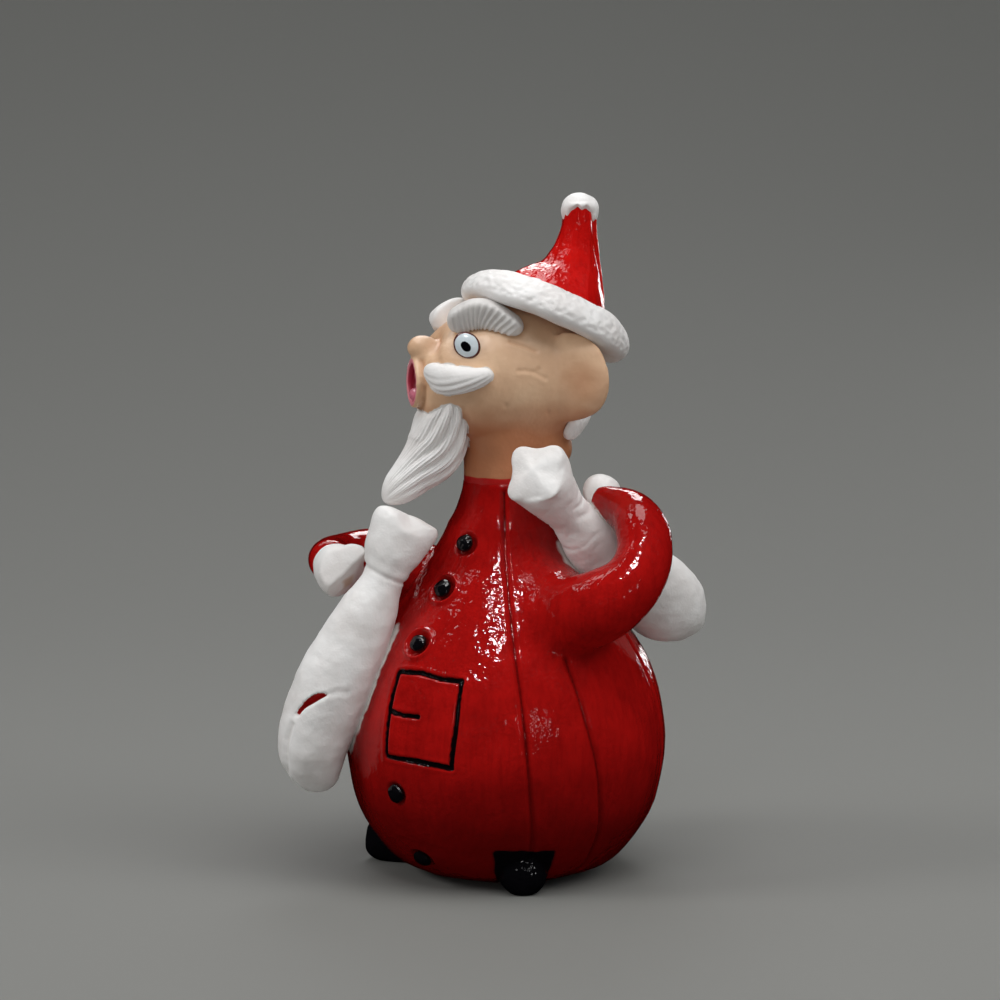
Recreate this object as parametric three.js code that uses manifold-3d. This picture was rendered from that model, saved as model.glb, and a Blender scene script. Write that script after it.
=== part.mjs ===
import * as THREE from 'three';
import { mergeVertices } from 'three/addons/utils/BufferGeometryUtils.js';
import Module from 'manifold-3d';

// A hand-built clay figurine of a round man in a red coat, who carries two long white bundles.
// Millimetres, degrees, +Z up. He faces -Y, and his left side is +X. The origin is on the floor
// under the middle of the coat. Each lump of clay is a piece of its own, pressed onto the next.

const GAP = 0.3;
const WELD = 1e-5;

const COLOURS = {
  red: 0xb80f12, flesh: 0xdeb896, white: 0xe1dedb, black: 0x08080a, pink: 0xdc7882, eye: 0xdce6ee,
};

// The coat is a turned pear. Its outline is given as radius and height.
const COAT = {
  outline: [[15, 0], [24.4, 3.4], [32, 12.9], [35.1, 23], [35.7, 33], [33.2, 44.5], [27.8, 55],
    [20.9, 65], [15.2, 74.5], [11.2, 81.5], [9.3, 88]],
  rows: 17,
  step: 17,
};

// An incised seam starts at its top height, and drifts in azimuth as it goes down.
const SEAM = { halfWidth: 0.9, depth: 0.8, levelHeight: 46, lowest: 5 };
const SEAMS = [
  { azimuth: -121, drift: -0.15, top: 74 },
  { azimuth: -79, drift: -0.3, top: 52 },
  { azimuth: -50, drift: -0.17, top: 86 },
  { azimuth: 53, drift: 0.17, top: 86 },
  { azimuth: 76, drift: 0.33, top: 52 },
  { azimuth: 121, drift: 0.15, top: 74 },
  { azimuth: 180, drift: 0, top: 86 },
];

// Corners as azimuth from the front (+ towards his left) and height.
const POCKET = {
  corners: [[0.8, 48.5], [30.7, 47.9], [29, 29.7], [2.2, 30.5]],
  slit: [[2, 40], [14.9, 39.9]],
  line: 0.6,
};

const BUTTON = { radius: 2.1, rise: 1.1, socket: 2.9, ring: 3.15, rim: 0.7 };
const BUTTONS = [
  { azimuth: 10.7, height: 75.2, rim: false },
  { azimuth: 5.7, height: 65.7, rim: true },
  { azimuth: 5.5, height: 54.5, rim: true },
  { azimuth: 5.3, height: 22.4, rim: false },
  { azimuth: 7.3, height: 6.9, rim: false },
];

const BOOT = {
  azimuth: 57,
  inner: 15,
  outer: { left: 28.8, right: 31.4 },
  wide: 5.9,
  tall: 4.8,
  swell: 1.2,
};

// A limb's stations are x, y, z, half width and half thickness, and its width lies along flat.
const SLEEVE_LEFT = {
  stations: [[12, 1, 58, 13, 12.5], [21, -1.6, 59.6, 10.4, 10], [27.4, -3.1, 61.3, 8.6, 8.5],
    [33.4, -1.2, 64, 7.9, 7.9],
    [37.2, 3, 68.6, 6.8, 6.8], [36.9, 6.8, 74.2, 6.2, 6.2], [33.6, 9.2, 79.3, 6, 5.8],
    [28.4, 10.1, 82.4, 5.1, 5.1], [23, 9.6, 84, 3.9, 3.9], [20, 8.9, 84.9, 3.4, 3.4]],
  flat: [0.21, -0.87, 0.44],
};
const SLEEVE_RIGHT = {
  stations: [[-16, 4, 57, 8, 8], [-28, 2, 62, 7.8, 7.8], [-37.5, -6, 66.6, 7, 7],
    [-39.3, -14, 67.2, 6.1, 6.1], [-35.2, -21.5, 68.1, 5.2, 5.2], [-29.5, -26.5, 68.8, 4.5, 4.5]],
  flat: [0, 0, 1],
};
const MITTEN_LEFT = {
  stations: [[24.2, 11, 84.8, 3, 3], [20, 10.5, 86, 3.9, 3.7], [15.6, 9.6, 87.2, 3.2, 3.2]],
  flat: [0, 0, 1],
};
const MITTEN_RIGHT = {
  stations: [[-30.2, -26, 69.2, 3.8, 3.8], [-22.4, -29.6, 67.9, 5.8, 5.3],
    [-15.2, -30.1, 66.2, 4.8, 4.6]],
  flat: [0, 0, 1],
};

// The bundles flare at the neck into four soft corners.
const CORNERS = { count: 4, height: 0.18, reach: 0.25 };
const SACK_LEFT = {
  stations: [[18.9, -9.4, 92.3, 5.8, 5.8], [18.1, -7.1, 91, 6.7, 6.7], [17.9, -3.6, 87.6, 6.4, 6.4],
    [18.3, 1.9, 81.7, 4.9, 4.8], [19.8, 7.1, 76.1, 6.6, 5.6], [20.9, 13, 70.8, 8, 6.6],
    [21.5, 20.9, 65.1, 9.2, 7.8], [21.2, 28.6, 60, 9.2, 8.3], [22.3, 38.2, 53.4, 7.4, 7.4]],
  flat: [0.49, 0.54, 0.68],
  phase: 0,
};
const SACK_RIGHT = {
  stations: [[-6.2, -23.4, 81.4, 6, 5.6], [-6.8, -24.2, 78.8, 7.2, 6.2], [-7.7, -26.5, 73.2, 6.4, 5.6],
    [-8.6, -28.3, 67.8, 4.5, 4.6], [-10.5, -31.2, 60.1, 6.4, 6.3], [-12.9, -33.7, 52.8, 7.9, 7.5],
    [-15.2, -36.3, 45, 8.6, 8], [-17.7, -38.5, 37.1, 8.4, 7.8], [-19.4, -39.8, 30, 7.8, 7.2],
    [-20.2, -40, 20.2, 6, 5.8]],
  flat: [0.67, 0.74, 0],
  phase: 0.5,
};
const SLIT = {
  stations: [[-10.6, -41.6, 43.4, 1.6, 0.3], [-12.8, -43.4, 42.5, 2.2, 0.85],
    [-15.7, -45.1, 40.1, 2.3, 0.65], [-18.6, -45.4, 36.8, 2, 0.3]],
  flat: [0.74, -0.67, 0],
};

// From here on, places are in the head's own frame, whose front is its own -Y. The head is turned
// to his right, and the neck stays on the axis of the coat.
const HEAD_TURN = -25;
const HEAD = {
  stations: [[0, -19.9, 109.7, 6.4, 6.6], [0, -16.6, 109.7, 9.6, 9.6], [0, -12.5, 110.7, 11.8, 13],
    [0, -7.5, 111, 13.6, 15.2], [0, 0, 111, 14.8, 16], [0, 9, 110.6, 14.8, 15.6],
    [0, 17.8, 110.4, 10, 11.5]],
  flat: [1, 0, 0],
  domes: [0.06, 0.12],
};
const NECK = { outline: [[9.2, 88.3], [9.2, 91], [9.4, 94], [10.4, 98], [10, 102]] };
const NECK_BACK = {
  stations: [[0, 3, 91, 8.6, 7.6], [0, 6.5, 96, 10, 8.6], [0, 9, 101, 10, 8.6]],
  flat: [1, 0, 0],
};
const NOSE = {
  stations: [[0, -13, 113.4, 5, 4.6], [0, -17.4, 115.6, 3.8, 3.2], [0, -20.4, 117.4, 2.7, 2.3],
    [0, -24.6, 119.4, 2.5, 2.2]],
  flat: [1, 0, 0],
};
const MOUTH = { y: -20.9, z: 110, halfWidth: 3.9, halfHeight: 4.7, lip: 1.2, depth: 5 };
const TONGUE = {
  stations: [[0, -17.5, 108, 2, 1.3], [0, -20, 107.4, 2.3, 1.5], [0, -22, 107, 1.9, 1.4]],
  flat: [1, 0, 0],
};
const EYE = {
  x: 10.5, y: -12, z: 118.6, halfWidth: 2.75, halfHeight: 3.2, bulge: 1.4, out: [1, -0.42, 0.12],
};
const EAR = {
  stations: [[12.8, 9, 121.2, 5.2, 1.8], [15.3, 11.2, 110.4, 7.5, 2], [11.6, 9.2, 101.2, 4.2, 1.8]],
  flat: [0.5, 0.87, 0],
};
const BROW = {
  stations: [[6, -15, 122.8, 2.6, 2.2], [8.8, -8.4, 125.2, 3.5, 2.4], [12.2, 0.2, 121.8, 1.9, 2.2]],
  flat: [0.35, 0, 1],
};
const MOUSTACHE = {
  stations: [[5.2, -19.8, 113.6, 1.6, 1.6], [9.4, -16.9, 111.3, 3.3, 2.1],
    [12.7, -11.8, 111.4, 2.6, 2.1], [14.5, -7.2, 112.7, 1.4, 1.6]],
  flat: [0, 0, 1],
};
const BEARD = {
  stations: [[0, -15.4, 108, 9.8, 1.4], [0, -14.8, 102.4, 10, 5.3], [0, -16.3, 95, 7.9, 6.5],
    [0, -21.6, 89.4, 5, 4.8], [0, -27.9, 83.8, 3.2, 3]],
  flat: [1, 0, 0],
};
const NAPE = {
  stations: [[11, 10.6, 99.6, 2.4, 1.4], [7.5, 14.4, 100, 3, 1.5], [0, 16.8, 100.2, 3.8, 1.6],
    [-7.5, 14.4, 100, 3, 1.5], [-11, 10.6, 99.6, 2.4, 1.4]],
  flat: [0, 0.6, 0.8],
};
const STROKES = {
  brow: { count: 6, depth: 0.06 }, moustache: { count: 4, depth: 0.1 }, beard: { count: 6, depth: 0.09 },
};

// The hat leans back, and is cocked to his right. Its brim is a flattened roll that slopes outwards.
const HAT = { y: 9.7, z: 124.6, leanBack: 25, cock: 5 };
const BRIM = { ring: 15.2, long: 5, short: 3.2, slope: 38, around: 22, section: 7 };
const CONE = {
  stations: [[0, 9.8, 124.5, 12.4, 12.4], [0, 13, 128.4, 10.8, 10.8], [0, 15.4, 132.2, 7.2, 7.2],
    [0, 16.5, 136.2, 5.7, 5.7], [0, 17, 141, 4.5, 4.4], [0, 17.1, 145.5, 4, 3.9],
    [0, 17.2, 149, 3.5, 3.5]],
  flat: [1, 0, 0],
  folds: { count: 5, depth: 0.04, twist: 1.3 },
};
const POMPOM = { y: 17.2, z: 147.8, radius: 4.2, rise: 3.6 };

const wasm = await Module();
wasm.setup();

const { degToRad, lerp, clamp } = THREE.MathUtils;
const at = (place) => new THREE.Vector3(...place);
const mirrored = (stations) => stations.map(([x, ...rest]) => [-x, ...rest]);

// A closed ball of clay whose vertices go to place(around, along): around runs once round the
// piece from 0 to 1, and along runs from its first pole, at 0, to its last, at 1.
function moulded(columns, rows, place) {
  const ball = new THREE.SphereGeometry(1, columns, rows);
  const spots = ball.attributes.position;
  for (let k = 0; k < spots.count; k += 1) {
    const row = Math.floor(k / (columns + 1));
    const column = row === 0 || row === rows ? 0 : (k % (columns + 1)) % columns;
    spots.setXYZ(k, ...place(column / columns, row / rows));
  }
  return closed(ball, true);
}

// Shared vertices are merged, so that the shape is one closed skin with its faces pointing out.
function closed(geometry, turnedInsideOut = false) {
  geometry.deleteAttribute('normal');
  geometry.deleteAttribute('uv');
  const welded = mergeVertices(geometry, WELD);
  const corners = welded.index.array;
  for (let k = 0; turnedInsideOut && k < corners.length; k += 3) {
    [corners[k], corners[k + 1]] = [corners[k + 1], corners[k]];
  }
  return welded;
}

function solidOf(geometry) {
  return new wasm.Manifold(new wasm.Mesh({
    numProp: 3,
    vertProperties: new Float32Array(geometry.attributes.position.array),
    triVerts: new Uint32Array(geometry.index.array),
  }));
}

function geometryOf(solid) {
  const skin = solid.getMesh();
  const geometry = new THREE.BufferGeometry();
  geometry.setAttribute('position', new THREE.BufferAttribute(skin.vertProperties, 3));
  geometry.setIndex(new THREE.BufferAttribute(skin.triVerts, 1));
  return geometry;
}

// The same shape with its skin moved out by the gap, used to press it into a neighbour.
function grown(geometry, gap = GAP) {
  const larger = geometry.clone();
  larger.computeVertexNormals();
  const spots = larger.attributes.position;
  const normals = larger.attributes.normal;
  for (let k = 0; k < spots.count; k += 1) {
    const spot = new THREE.Vector3().fromBufferAttribute(spots, k);
    spot.addScaledVector(new THREE.Vector3().fromBufferAttribute(normals, k), gap);
    spots.setXYZ(k, ...spot);
  }
  return larger;
}

const joined = (...geometries) => geometryOf(geometries.map(solidOf).reduce((all, one) => all.add(one)));

function cut(geometry, ...cutters) {
  return geometryOf(cutters.map(solidOf).reduce((left, cutter) => left.subtract(cutter), solidOf(geometry)));
}

// A piece that is pressed against its neighbours keeps only its largest part.
function pressed(geometry, ...neighbours) {
  const rest = solidOf(cut(geometry, ...neighbours.map((neighbour) => grown(neighbour))));
  const parts = rest.decompose().sort((a, b) => b.volume() - a.volume());
  return geometryOf(parts[0]);
}

// A limb follows a smooth path through its stations. domes are the shares of its length over which
// its two ends round off, and relief(around, along) swells or grooves it.
function limb({ stations, flat, columns = 12, rows = 12, domes = [0.1, 0.1], relief = () => 1 }) {
  const path = new THREE.CatmullRomCurve3(stations.map((station) => at(station.slice(0, 3))));
  const size = new THREE.CatmullRomCurve3(
    stations.map(([, , , wide, thick]) => at([wide, thick, 0])), false, 'catmullrom');
  return moulded(columns, rows, (around, row) => {
    const along = (1 - Math.cos(Math.PI * row)) / 2;
    const short = 1 - clamp(Math.min(along / domes[0], (1 - along) / domes[1]), 0, 1);
    const round = Math.sqrt(1 - short * short);
    const { x: wide, y: thick } = size.getPoint(along).multiplyScalar(round * relief(around, along));
    const ahead = path.getTangent(along);
    const side = at(flat).addScaledVector(ahead, -at(flat).dot(ahead)).normalize();
    const over = ahead.clone().cross(side);
    const angle = 2 * Math.PI * around;
    return path.getPoint(along)
      .addScaledVector(side, Math.cos(angle) * wide)
      .addScaledVector(over, Math.sin(angle) * thick);
  });
}

// The half width of a turned outline at a height.
function radiusAt(outline, height) {
  const next = Math.max(1, outline.findIndex(([, z]) => z >= height));
  const [[r0, z0], [r1, z1]] = [outline[next - 1], outline[next]];
  return lerp(r0, r1, (height - z0) / (z1 - z0));
}

function onCoat(azimuth, height, out = 0) {
  const radius = radiusAt(COAT.outline, height) + out;
  const angle = degToRad(azimuth);
  return at([radius * Math.sin(angle), -radius * Math.cos(angle), height]);
}

// The direction that points straight out of the coat's side.
function outOfCoat(azimuth, height) {
  const reach = 2;
  const rise = onCoat(azimuth, height + reach).sub(onCoat(azimuth, height - reach));
  const angle = degToRad(azimuth);
  return at([Math.cos(angle), Math.sin(angle), 0]).cross(rise).normalize();
}

// A solid of revolution with a flat bottom and top. turn(column, height) gives the azimuth of a
// column, and dip(column, height) how far the column lies inside the outline.
function turned(outline, columns, rows, turn = (column) => (360 * column) / columns, dip = () => 0) {
  const curve = new THREE.SplineCurve(outline.map(([r, z]) => new THREE.Vector2(r, z)));
  return moulded(columns, rows, (around, row) => {
    const end = row === 0 || row === 1;
    const { x: radius, y: height } = curve.getPoint(clamp((row * rows - 1) / (rows - 2), 0, 1));
    const column = Math.round(around * columns);
    const reach = end ? 0 : radius - dip(column, height);
    const angle = degToRad(turn(column, height));
    return at([reach * Math.sin(angle), -reach * Math.cos(angle), height]);
  });
}

function coatColumns() {
  return SEAMS.flatMap((seam, k) => {
    const next = SEAMS[(k + 1) % SEAMS.length];
    const sweep = (next.azimuth - seam.azimuth + 360) % 360;
    const between = Math.round(sweep / COAT.step) - 1;
    const edges = [-1, 0, 1].map((side) => ({ seam, side }));
    const panel = Array.from({ length: between }, (_, n) => ({ seam, next, share: (n + 1) / (between + 1) }));
    return [...edges, ...panel];
  });
}

const seamAzimuth = (seam, height) => seam.azimuth + seam.drift * (SEAM.levelHeight - height);

function columnAzimuth({ seam, side = 0, next, share = 0 }, height) {
  const start = seamAzimuth(seam, height);
  if (!next) {
    return start + side * THREE.MathUtils.radToDeg(SEAM.halfWidth / radiusAt(COAT.outline, height));
  }
  const sweep = (seamAzimuth(next, height) - start + 360) % 360;
  return start + share * sweep;
}

function coatBody() {
  const columns = coatColumns();
  return turned(COAT.outline, columns.length, COAT.rows,
    (column, height) => columnAzimuth(columns[column], height),
    (column, height) => {
      const { seam, side } = columns[column];
      return side === 0 && height > SEAM.lowest && height < seam.top ? SEAM.depth : 0;
    });
}

// A line scored into the coat from one corner to another.
function scored([azimuthA, heightA], [azimuthB, heightB]) {
  const steps = 3;
  const stations = Array.from({ length: steps + 1 }, (_, k) => [
    ...onCoat(lerp(azimuthA, azimuthB, k / steps), lerp(heightA, heightB, k / steps)),
    POCKET.line, POCKET.line,
  ]);
  const flat = outOfCoat(azimuthA, heightA).toArray();
  return limb({ stations, flat, columns: 4, rows: 4, domes: [0.03, 0.03] });
}

function pocketLines() {
  const { corners, slit } = POCKET;
  const sides = corners.map((corner, k) => scored(corner, corners[(k + 1) % corners.length]));
  return [...sides, scored(...slit)];
}

// A flat dome that lies on the coat, facing out.
function domeOnCoat({ azimuth, height }, radius, rise) {
  const dome = closed(new THREE.SphereGeometry(radius, 9, 4).rotateX(Math.PI / 2));
  dome.scale(1, 1, rise / radius);
  return facing(dome, outOfCoat(azimuth, height), onCoat(azimuth, height));
}

function facing(geometry, direction, place) {
  geometry.applyQuaternion(new THREE.Quaternion().setFromUnitVectors(at([0, 0, 1]), direction));
  return geometry.translate(...place);
}

function socketRim({ azimuth, height }) {
  const ring = closed(new THREE.TorusGeometry(BUTTON.ring, BUTTON.rim, 4, 12));
  return facing(ring, outOfCoat(azimuth, height), onCoat(azimuth, height));
}

function makeCoat() {
  const rims = BUTTONS.filter(({ rim }) => rim).map(socketRim);
  const sockets = BUTTONS.map((button) => domeOnCoat(button, BUTTON.socket, BUTTON.rise + GAP));
  return cut(joined(coatBody(), ...rims), ...sockets, ...pocketLines());
}

// The black toe of a boot looks out from under the coat, flat on the floor.
function makeBoot(name, side, coat) {
  const { inner, wide, tall, swell } = BOOT;
  const outer = BOOT.outer[name];
  const angle = degToRad(side * BOOT.azimuth);
  const toe = moulded(10, 7, (around, row) => {
    const along = (1 - Math.cos(Math.PI * row)) / 2;
    const round = Math.sqrt(1 - (2 * along - 1) ** 2);
    const turn = 2 * Math.PI * around;
    const reach = lerp(inner, outer, along);
    const across = wide * round * Math.cos(turn);
    return at([
      reach * Math.sin(angle) + across * Math.cos(angle),
      -reach * Math.cos(angle) + across * Math.sin(angle),
      Math.max(0, tall + tall * swell * round * Math.sin(turn)),
    ]);
  });
  return pressed(toe, coat);
}

// Four soft corners at the mouth of a bundle, which fade out towards its waist.
function bundle({ phase, ...sack }) {
  const relief = (around, along) => {
    const fade = clamp(1 - along / CORNERS.reach, 0, 1);
    return 1 + CORNERS.height * fade * Math.cos(2 * Math.PI * (CORNERS.count * around + phase));
  };
  return limb({ ...sack, columns: 16, rows: 12, domes: [0.04, 0.12], relief });
}

// Strokes combed along a slab of white clay, and strokes combed across it at a slant.
const combed = ({ count, depth }) => (around) => 1 + depth * Math.cos(2 * Math.PI * count * around);
const slantCombed = ({ count, depth }) => (around, along) => (
  1 + depth * Math.cos(2 * Math.PI * (count * along + 2 * around)) * Math.sin(Math.PI * along));

function makeEye(side) {
  const eye = closed(new THREE.SphereGeometry(1, 10, 5).rotateX(Math.PI / 2));
  eye.scale(EYE.halfWidth, EYE.halfHeight, EYE.bulge);
  const [outwards, forwards, upwards] = EYE.out;
  const out = at([side * outwards, forwards, upwards]).normalize();
  return facing(eye.rotateZ(Math.PI / 2), out, [side * EYE.x, EYE.y, EYE.z]);
}

function lips() {
  const { halfWidth, halfHeight, lip, y, z } = MOUTH;
  const ring = closed(new THREE.TorusGeometry(halfHeight, lip, 4, 12));
  return ring.scale(halfWidth / halfHeight, 1, 1).rotateX(Math.PI / 2).translate(0, y, z);
}

function mouthHole() {
  const { halfWidth, halfHeight, lip, y, z, depth } = MOUTH;
  const inside = [halfWidth - lip / 2, halfHeight - lip / 2];
  const stations = [[0, y - depth, z, ...inside], [0, y, z, ...inside], [0, y + depth, z, ...inside]];
  return limb({ stations, flat: [1, 0, 0], columns: 8, rows: 5, domes: [0.1, 0.3] });
}

function makeHead(eyes) {
  const egg = limb({ ...HEAD, columns: 18, rows: 13 });
  const neck = turned(NECK.outline, 16, 5);
  const neckBack = limb({ ...NECK_BACK, columns: 8, rows: 5, domes: [0.3, 0.3] });
  const nose = limb({ ...NOSE, columns: 10, rows: 8, domes: [0.2, 0.3] });
  const sockets = eyes.map((eye) => grown(eye));
  return cut(joined(egg, neck, neckBack, nose, lips()), mouthHole(), ...sockets);
}

// The hat's own frame: its Z leans back and to his right from the middle of the brim.
const hatFrame = new THREE.Matrix4()
  .makeRotationFromEuler(new THREE.Euler(degToRad(-HAT.leanBack), degToRad(-HAT.cock), 0))
  .setPosition(0, HAT.y, HAT.z);

function makeBrim() {
  const { ring, long, short, slope, around, section } = BRIM;
  const roll = new THREE.TorusGeometry(ring, 1, section, around);
  const spots = roll.attributes.position;
  const tilt = degToRad(slope);
  for (let k = 0; k < spots.count; k += 1) {
    const spot = new THREE.Vector3().fromBufferAttribute(spots, k);
    const middle = at([spot.x, spot.y, 0]).setLength(ring);
    const outwards = middle.clone().normalize();
    const [u, v] = [spot.clone().sub(middle).dot(outwards), spot.z];
    const a = u * long;
    const b = v * short;
    middle.addScaledVector(outwards, a * Math.cos(tilt) + b * Math.sin(tilt));
    middle.z += b * Math.cos(tilt) - a * Math.sin(tilt);
    spots.setXYZ(k, ...middle);
  }
  return closed(roll).applyMatrix4(hatFrame);
}

function makeCone() {
  const { count, depth, twist } = CONE.folds;
  const relief = (around, along) => (
    1 + depth * Math.cos(2 * Math.PI * (count * around + twist * along)) * clamp(2 - 2 * along, 0, 1));
  return limb({ ...CONE, columns: 15, rows: 11, domes: [0.04, 0.05], relief });
}

function makePompom() {
  const cap = closed(new THREE.SphereGeometry(1, 10, 5).rotateX(Math.PI / 2));
  return cap.scale(POMPOM.radius, POMPOM.radius, POMPOM.rise).translate(0, POMPOM.y, POMPOM.z);
}

const turnHead = new THREE.Matrix4().makeRotationZ(degToRad(HEAD_TURN));
const inBodyFrame = (geometry) => geometry.clone().applyMatrix4(turnHead);
const inHeadFrame = (geometry) => geometry.clone().applyMatrix4(turnHead.clone().invert());

const FINISHES = {
  red: { roughness: 0.2 }, flesh: { roughness: 0.45 }, white: { roughness: 0.75 },
  black: { roughness: 0.15 }, pink: { roughness: 0.4 }, eye: { roughness: 0.2 },
};

function piece(name, colour, geometry) {
  geometry.computeVertexNormals();
  const finish = { color: COLOURS[colour], metalness: 0, ...FINISHES[colour] };
  const mesh = new THREE.Mesh(geometry, new THREE.MeshStandardMaterial(finish));
  mesh.name = name;
  return mesh;
}

const sides = [['left', 1], ['right', -1]];
const both = ({ stations, flat }) => [
  { stations, flat }, { stations: mirrored(stations), flat: mirrored([flat])[0] },
];

const coat = makeCoat();
const eyes = sides.map(([, side]) => makeEye(side));
const head = makeHead(eyes);
const cone = pressed(makeCone(), head);
const brim = pressed(makeBrim(), head, cone);
const pompom = pressed(makePompom(), cone);
const moustaches = both(MOUSTACHE).map((half) => (
  pressed(limb({ ...half, columns: 12, rows: 9, relief: combed(STROKES.moustache) }), head)));
const brows = both(BROW).map((slab) => (
  pressed(limb({ ...slab, columns: 8, rows: 12, relief: slantCombed(STROKES.brow) }), head, brim)));
const ears = both(EAR).map((ear) => (
  pressed(limb({ ...ear, columns: 9, rows: 8, domes: [0.3, 0.3] }), head, brim)));
const nape = pressed(limb({ ...NAPE, columns: 7, rows: 8 }), head, ...ears);
const tongue = pressed(limb({ ...TONGUE, columns: 5, rows: 4, domes: [0.3, 0.3] }), head);
const beard = pressed(
  limb({ ...BEARD, columns: 18, rows: 8, domes: [0.1, 0.15], relief: combed(STROKES.beard) }),
  head, ...moustaches, inHeadFrame(coat));

const sleeveLeft = pressed(limb({ ...SLEEVE_LEFT, columns: 10, rows: 15, domes: [0.05, 0.06] }), coat);
const sleeveRight = pressed(limb({ ...SLEEVE_RIGHT, columns: 10, rows: 13, domes: [0.05, 0.06] }), coat);
const mittenLeft = pressed(limb({ ...MITTEN_LEFT, columns: 9, rows: 7, domes: [0.3, 0.4] }), sleeveLeft);
const mittenRight = pressed(limb({ ...MITTEN_RIGHT, columns: 9, rows: 7, domes: [0.3, 0.4] }), sleeveRight);
const sackLeft = pressed(bundle(SACK_LEFT), coat, inBodyFrame(head), sleeveLeft, mittenLeft);
const sackRight = cut(
  pressed(bundle(SACK_RIGHT), coat, inBodyFrame(beard), sleeveRight, mittenRight),
  limb({ ...SLIT, columns: 6, rows: 9 }));

const santa = new THREE.Group();
santa.add(
  piece('coat', 'red', coat),
  piece('sleeve_left', 'red', sleeveLeft),
  piece('sleeve_right', 'red', sleeveRight),
  piece('mitten_left', 'white', mittenLeft),
  piece('mitten_right', 'white', mittenRight),
  piece('sack_left', 'white', sackLeft),
  piece('sack_right', 'white', sackRight),
);
BUTTONS.forEach((button, k) => {
  santa.add(piece(`button_${k + 1}`, 'black', domeOnCoat(button, BUTTON.radius, BUTTON.rise - GAP / 2)));
});
sides.forEach(([name, side]) => santa.add(piece(`boot_${name}`, 'black', makeBoot(name, side, coat))));

const headGroup = new THREE.Group();
headGroup.rotation.z = degToRad(HEAD_TURN);
headGroup.add(
  piece('head', 'flesh', head),
  piece('tongue', 'pink', tongue),
  piece('beard', 'white', beard),
  piece('hair_back', 'white', nape),
  piece('hat_brim', 'white', brim),
  piece('hat_cone', 'red', cone),
  piece('hat_pompom', 'white', pompom),
);
sides.forEach(([name], k) => headGroup.add(
  piece(`ear_${name}`, 'flesh', ears[k]),
  piece(`eye_${name}`, 'eye', eyes[k]),
  piece(`brow_${name}`, 'white', brows[k]),
  piece(`moustache_${name}`, 'white', moustaches[k]),
));
santa.add(headGroup);

export default santa;
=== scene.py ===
# %% [markdown]
# # A hand-built clay figurine
# A round little man in a red coat, modelled from lumps of clay that were pressed onto each other,
# fired, and painted with glossy and matt colours. The construction is loaded first, as a fixed frame:
# it gives every lump its true place. All the clay is then modelled again on top of it, because the
# plain solids carry no marks of the fingers and the modelling tool.

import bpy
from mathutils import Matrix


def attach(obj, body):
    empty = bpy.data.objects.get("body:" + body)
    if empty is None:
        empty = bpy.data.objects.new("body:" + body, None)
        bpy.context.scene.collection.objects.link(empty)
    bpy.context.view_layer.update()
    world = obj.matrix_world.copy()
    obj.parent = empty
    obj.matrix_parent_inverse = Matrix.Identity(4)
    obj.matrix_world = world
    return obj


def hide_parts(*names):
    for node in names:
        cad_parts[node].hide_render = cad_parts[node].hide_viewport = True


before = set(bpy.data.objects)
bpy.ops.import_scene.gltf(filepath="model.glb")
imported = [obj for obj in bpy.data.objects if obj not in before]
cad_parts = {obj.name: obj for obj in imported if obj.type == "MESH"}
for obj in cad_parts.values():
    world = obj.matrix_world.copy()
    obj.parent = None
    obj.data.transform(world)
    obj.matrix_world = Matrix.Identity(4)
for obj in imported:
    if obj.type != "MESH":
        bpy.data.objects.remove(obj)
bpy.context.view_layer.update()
print("solids in the frame:", len(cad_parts))

# %% [markdown]
# ## Rolling a lump of clay
# Almost every piece here began as a lump that was rolled, bent and squeezed between the fingers. In
# Blender such a lump could be sculpted by hand, but a few stations say it exactly: a place in
# millimetres, a half width and a half thickness. A smooth curve runs through the stations, and rings
# of points are laid round it. Relief is a factor on each ring's size, for grooves and swellings.

# %% Smooth curves through stations
import math
import bpy
import bmesh
import numpy as np
from mathutils import Vector, kdtree, noise

MM = 0.001


def smooth_line(points, shares, uniform=False, doubled_ends=False):
    """Places on a smooth curve through the points, at shares along it from 0 to 1. It is a Catmull-Rom
    curve, centripetal or uniform, and its end points are carried on straight or doubled."""
    points = np.asarray(points, float)
    first, last = (points[0], points[-1]) if doubled_ends else (
        2 * points[0] - points[1], 2 * points[-1] - points[-2])
    points = np.vstack([first, points, last])
    reach = np.clip(shares, 0, 1) * (len(points) - 3)
    k = np.minimum(reach.astype(int), len(points) - 4)
    w = (reach - k)[:, None]
    a, b, c, d = (points[k + n] for n in range(4))
    if uniform:
        leave, arrive = (c - a) / 2, (d - b) / 2
    else:
        ab, bc, cd = (np.maximum(np.linalg.norm(q - p, axis=1, keepdims=True), 1e-8) ** 0.5
                      for p, q in ((a, b), (b, c), (c, d)))
        leave = ((b - a) / ab - (c - a) / (ab + bc) + (c - b) / bc) * bc
        arrive = ((c - b) / bc - (d - b) / (bc + cd) + (d - c) / cd) * bc
    return ((2 * (b - c) + leave + arrive) * w ** 3
            + (3 * (c - b) - 2 * leave - arrive) * w ** 2 + leave * w + b)


# %% A rolled lump as rings of points
def eased(rows):
    """Shares from 0 to 1 that lie closer together near both ends, where a lump rounds off."""
    return (1 - np.cos(np.pi * np.arange(rows + 1) / rows)) / 2


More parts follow.
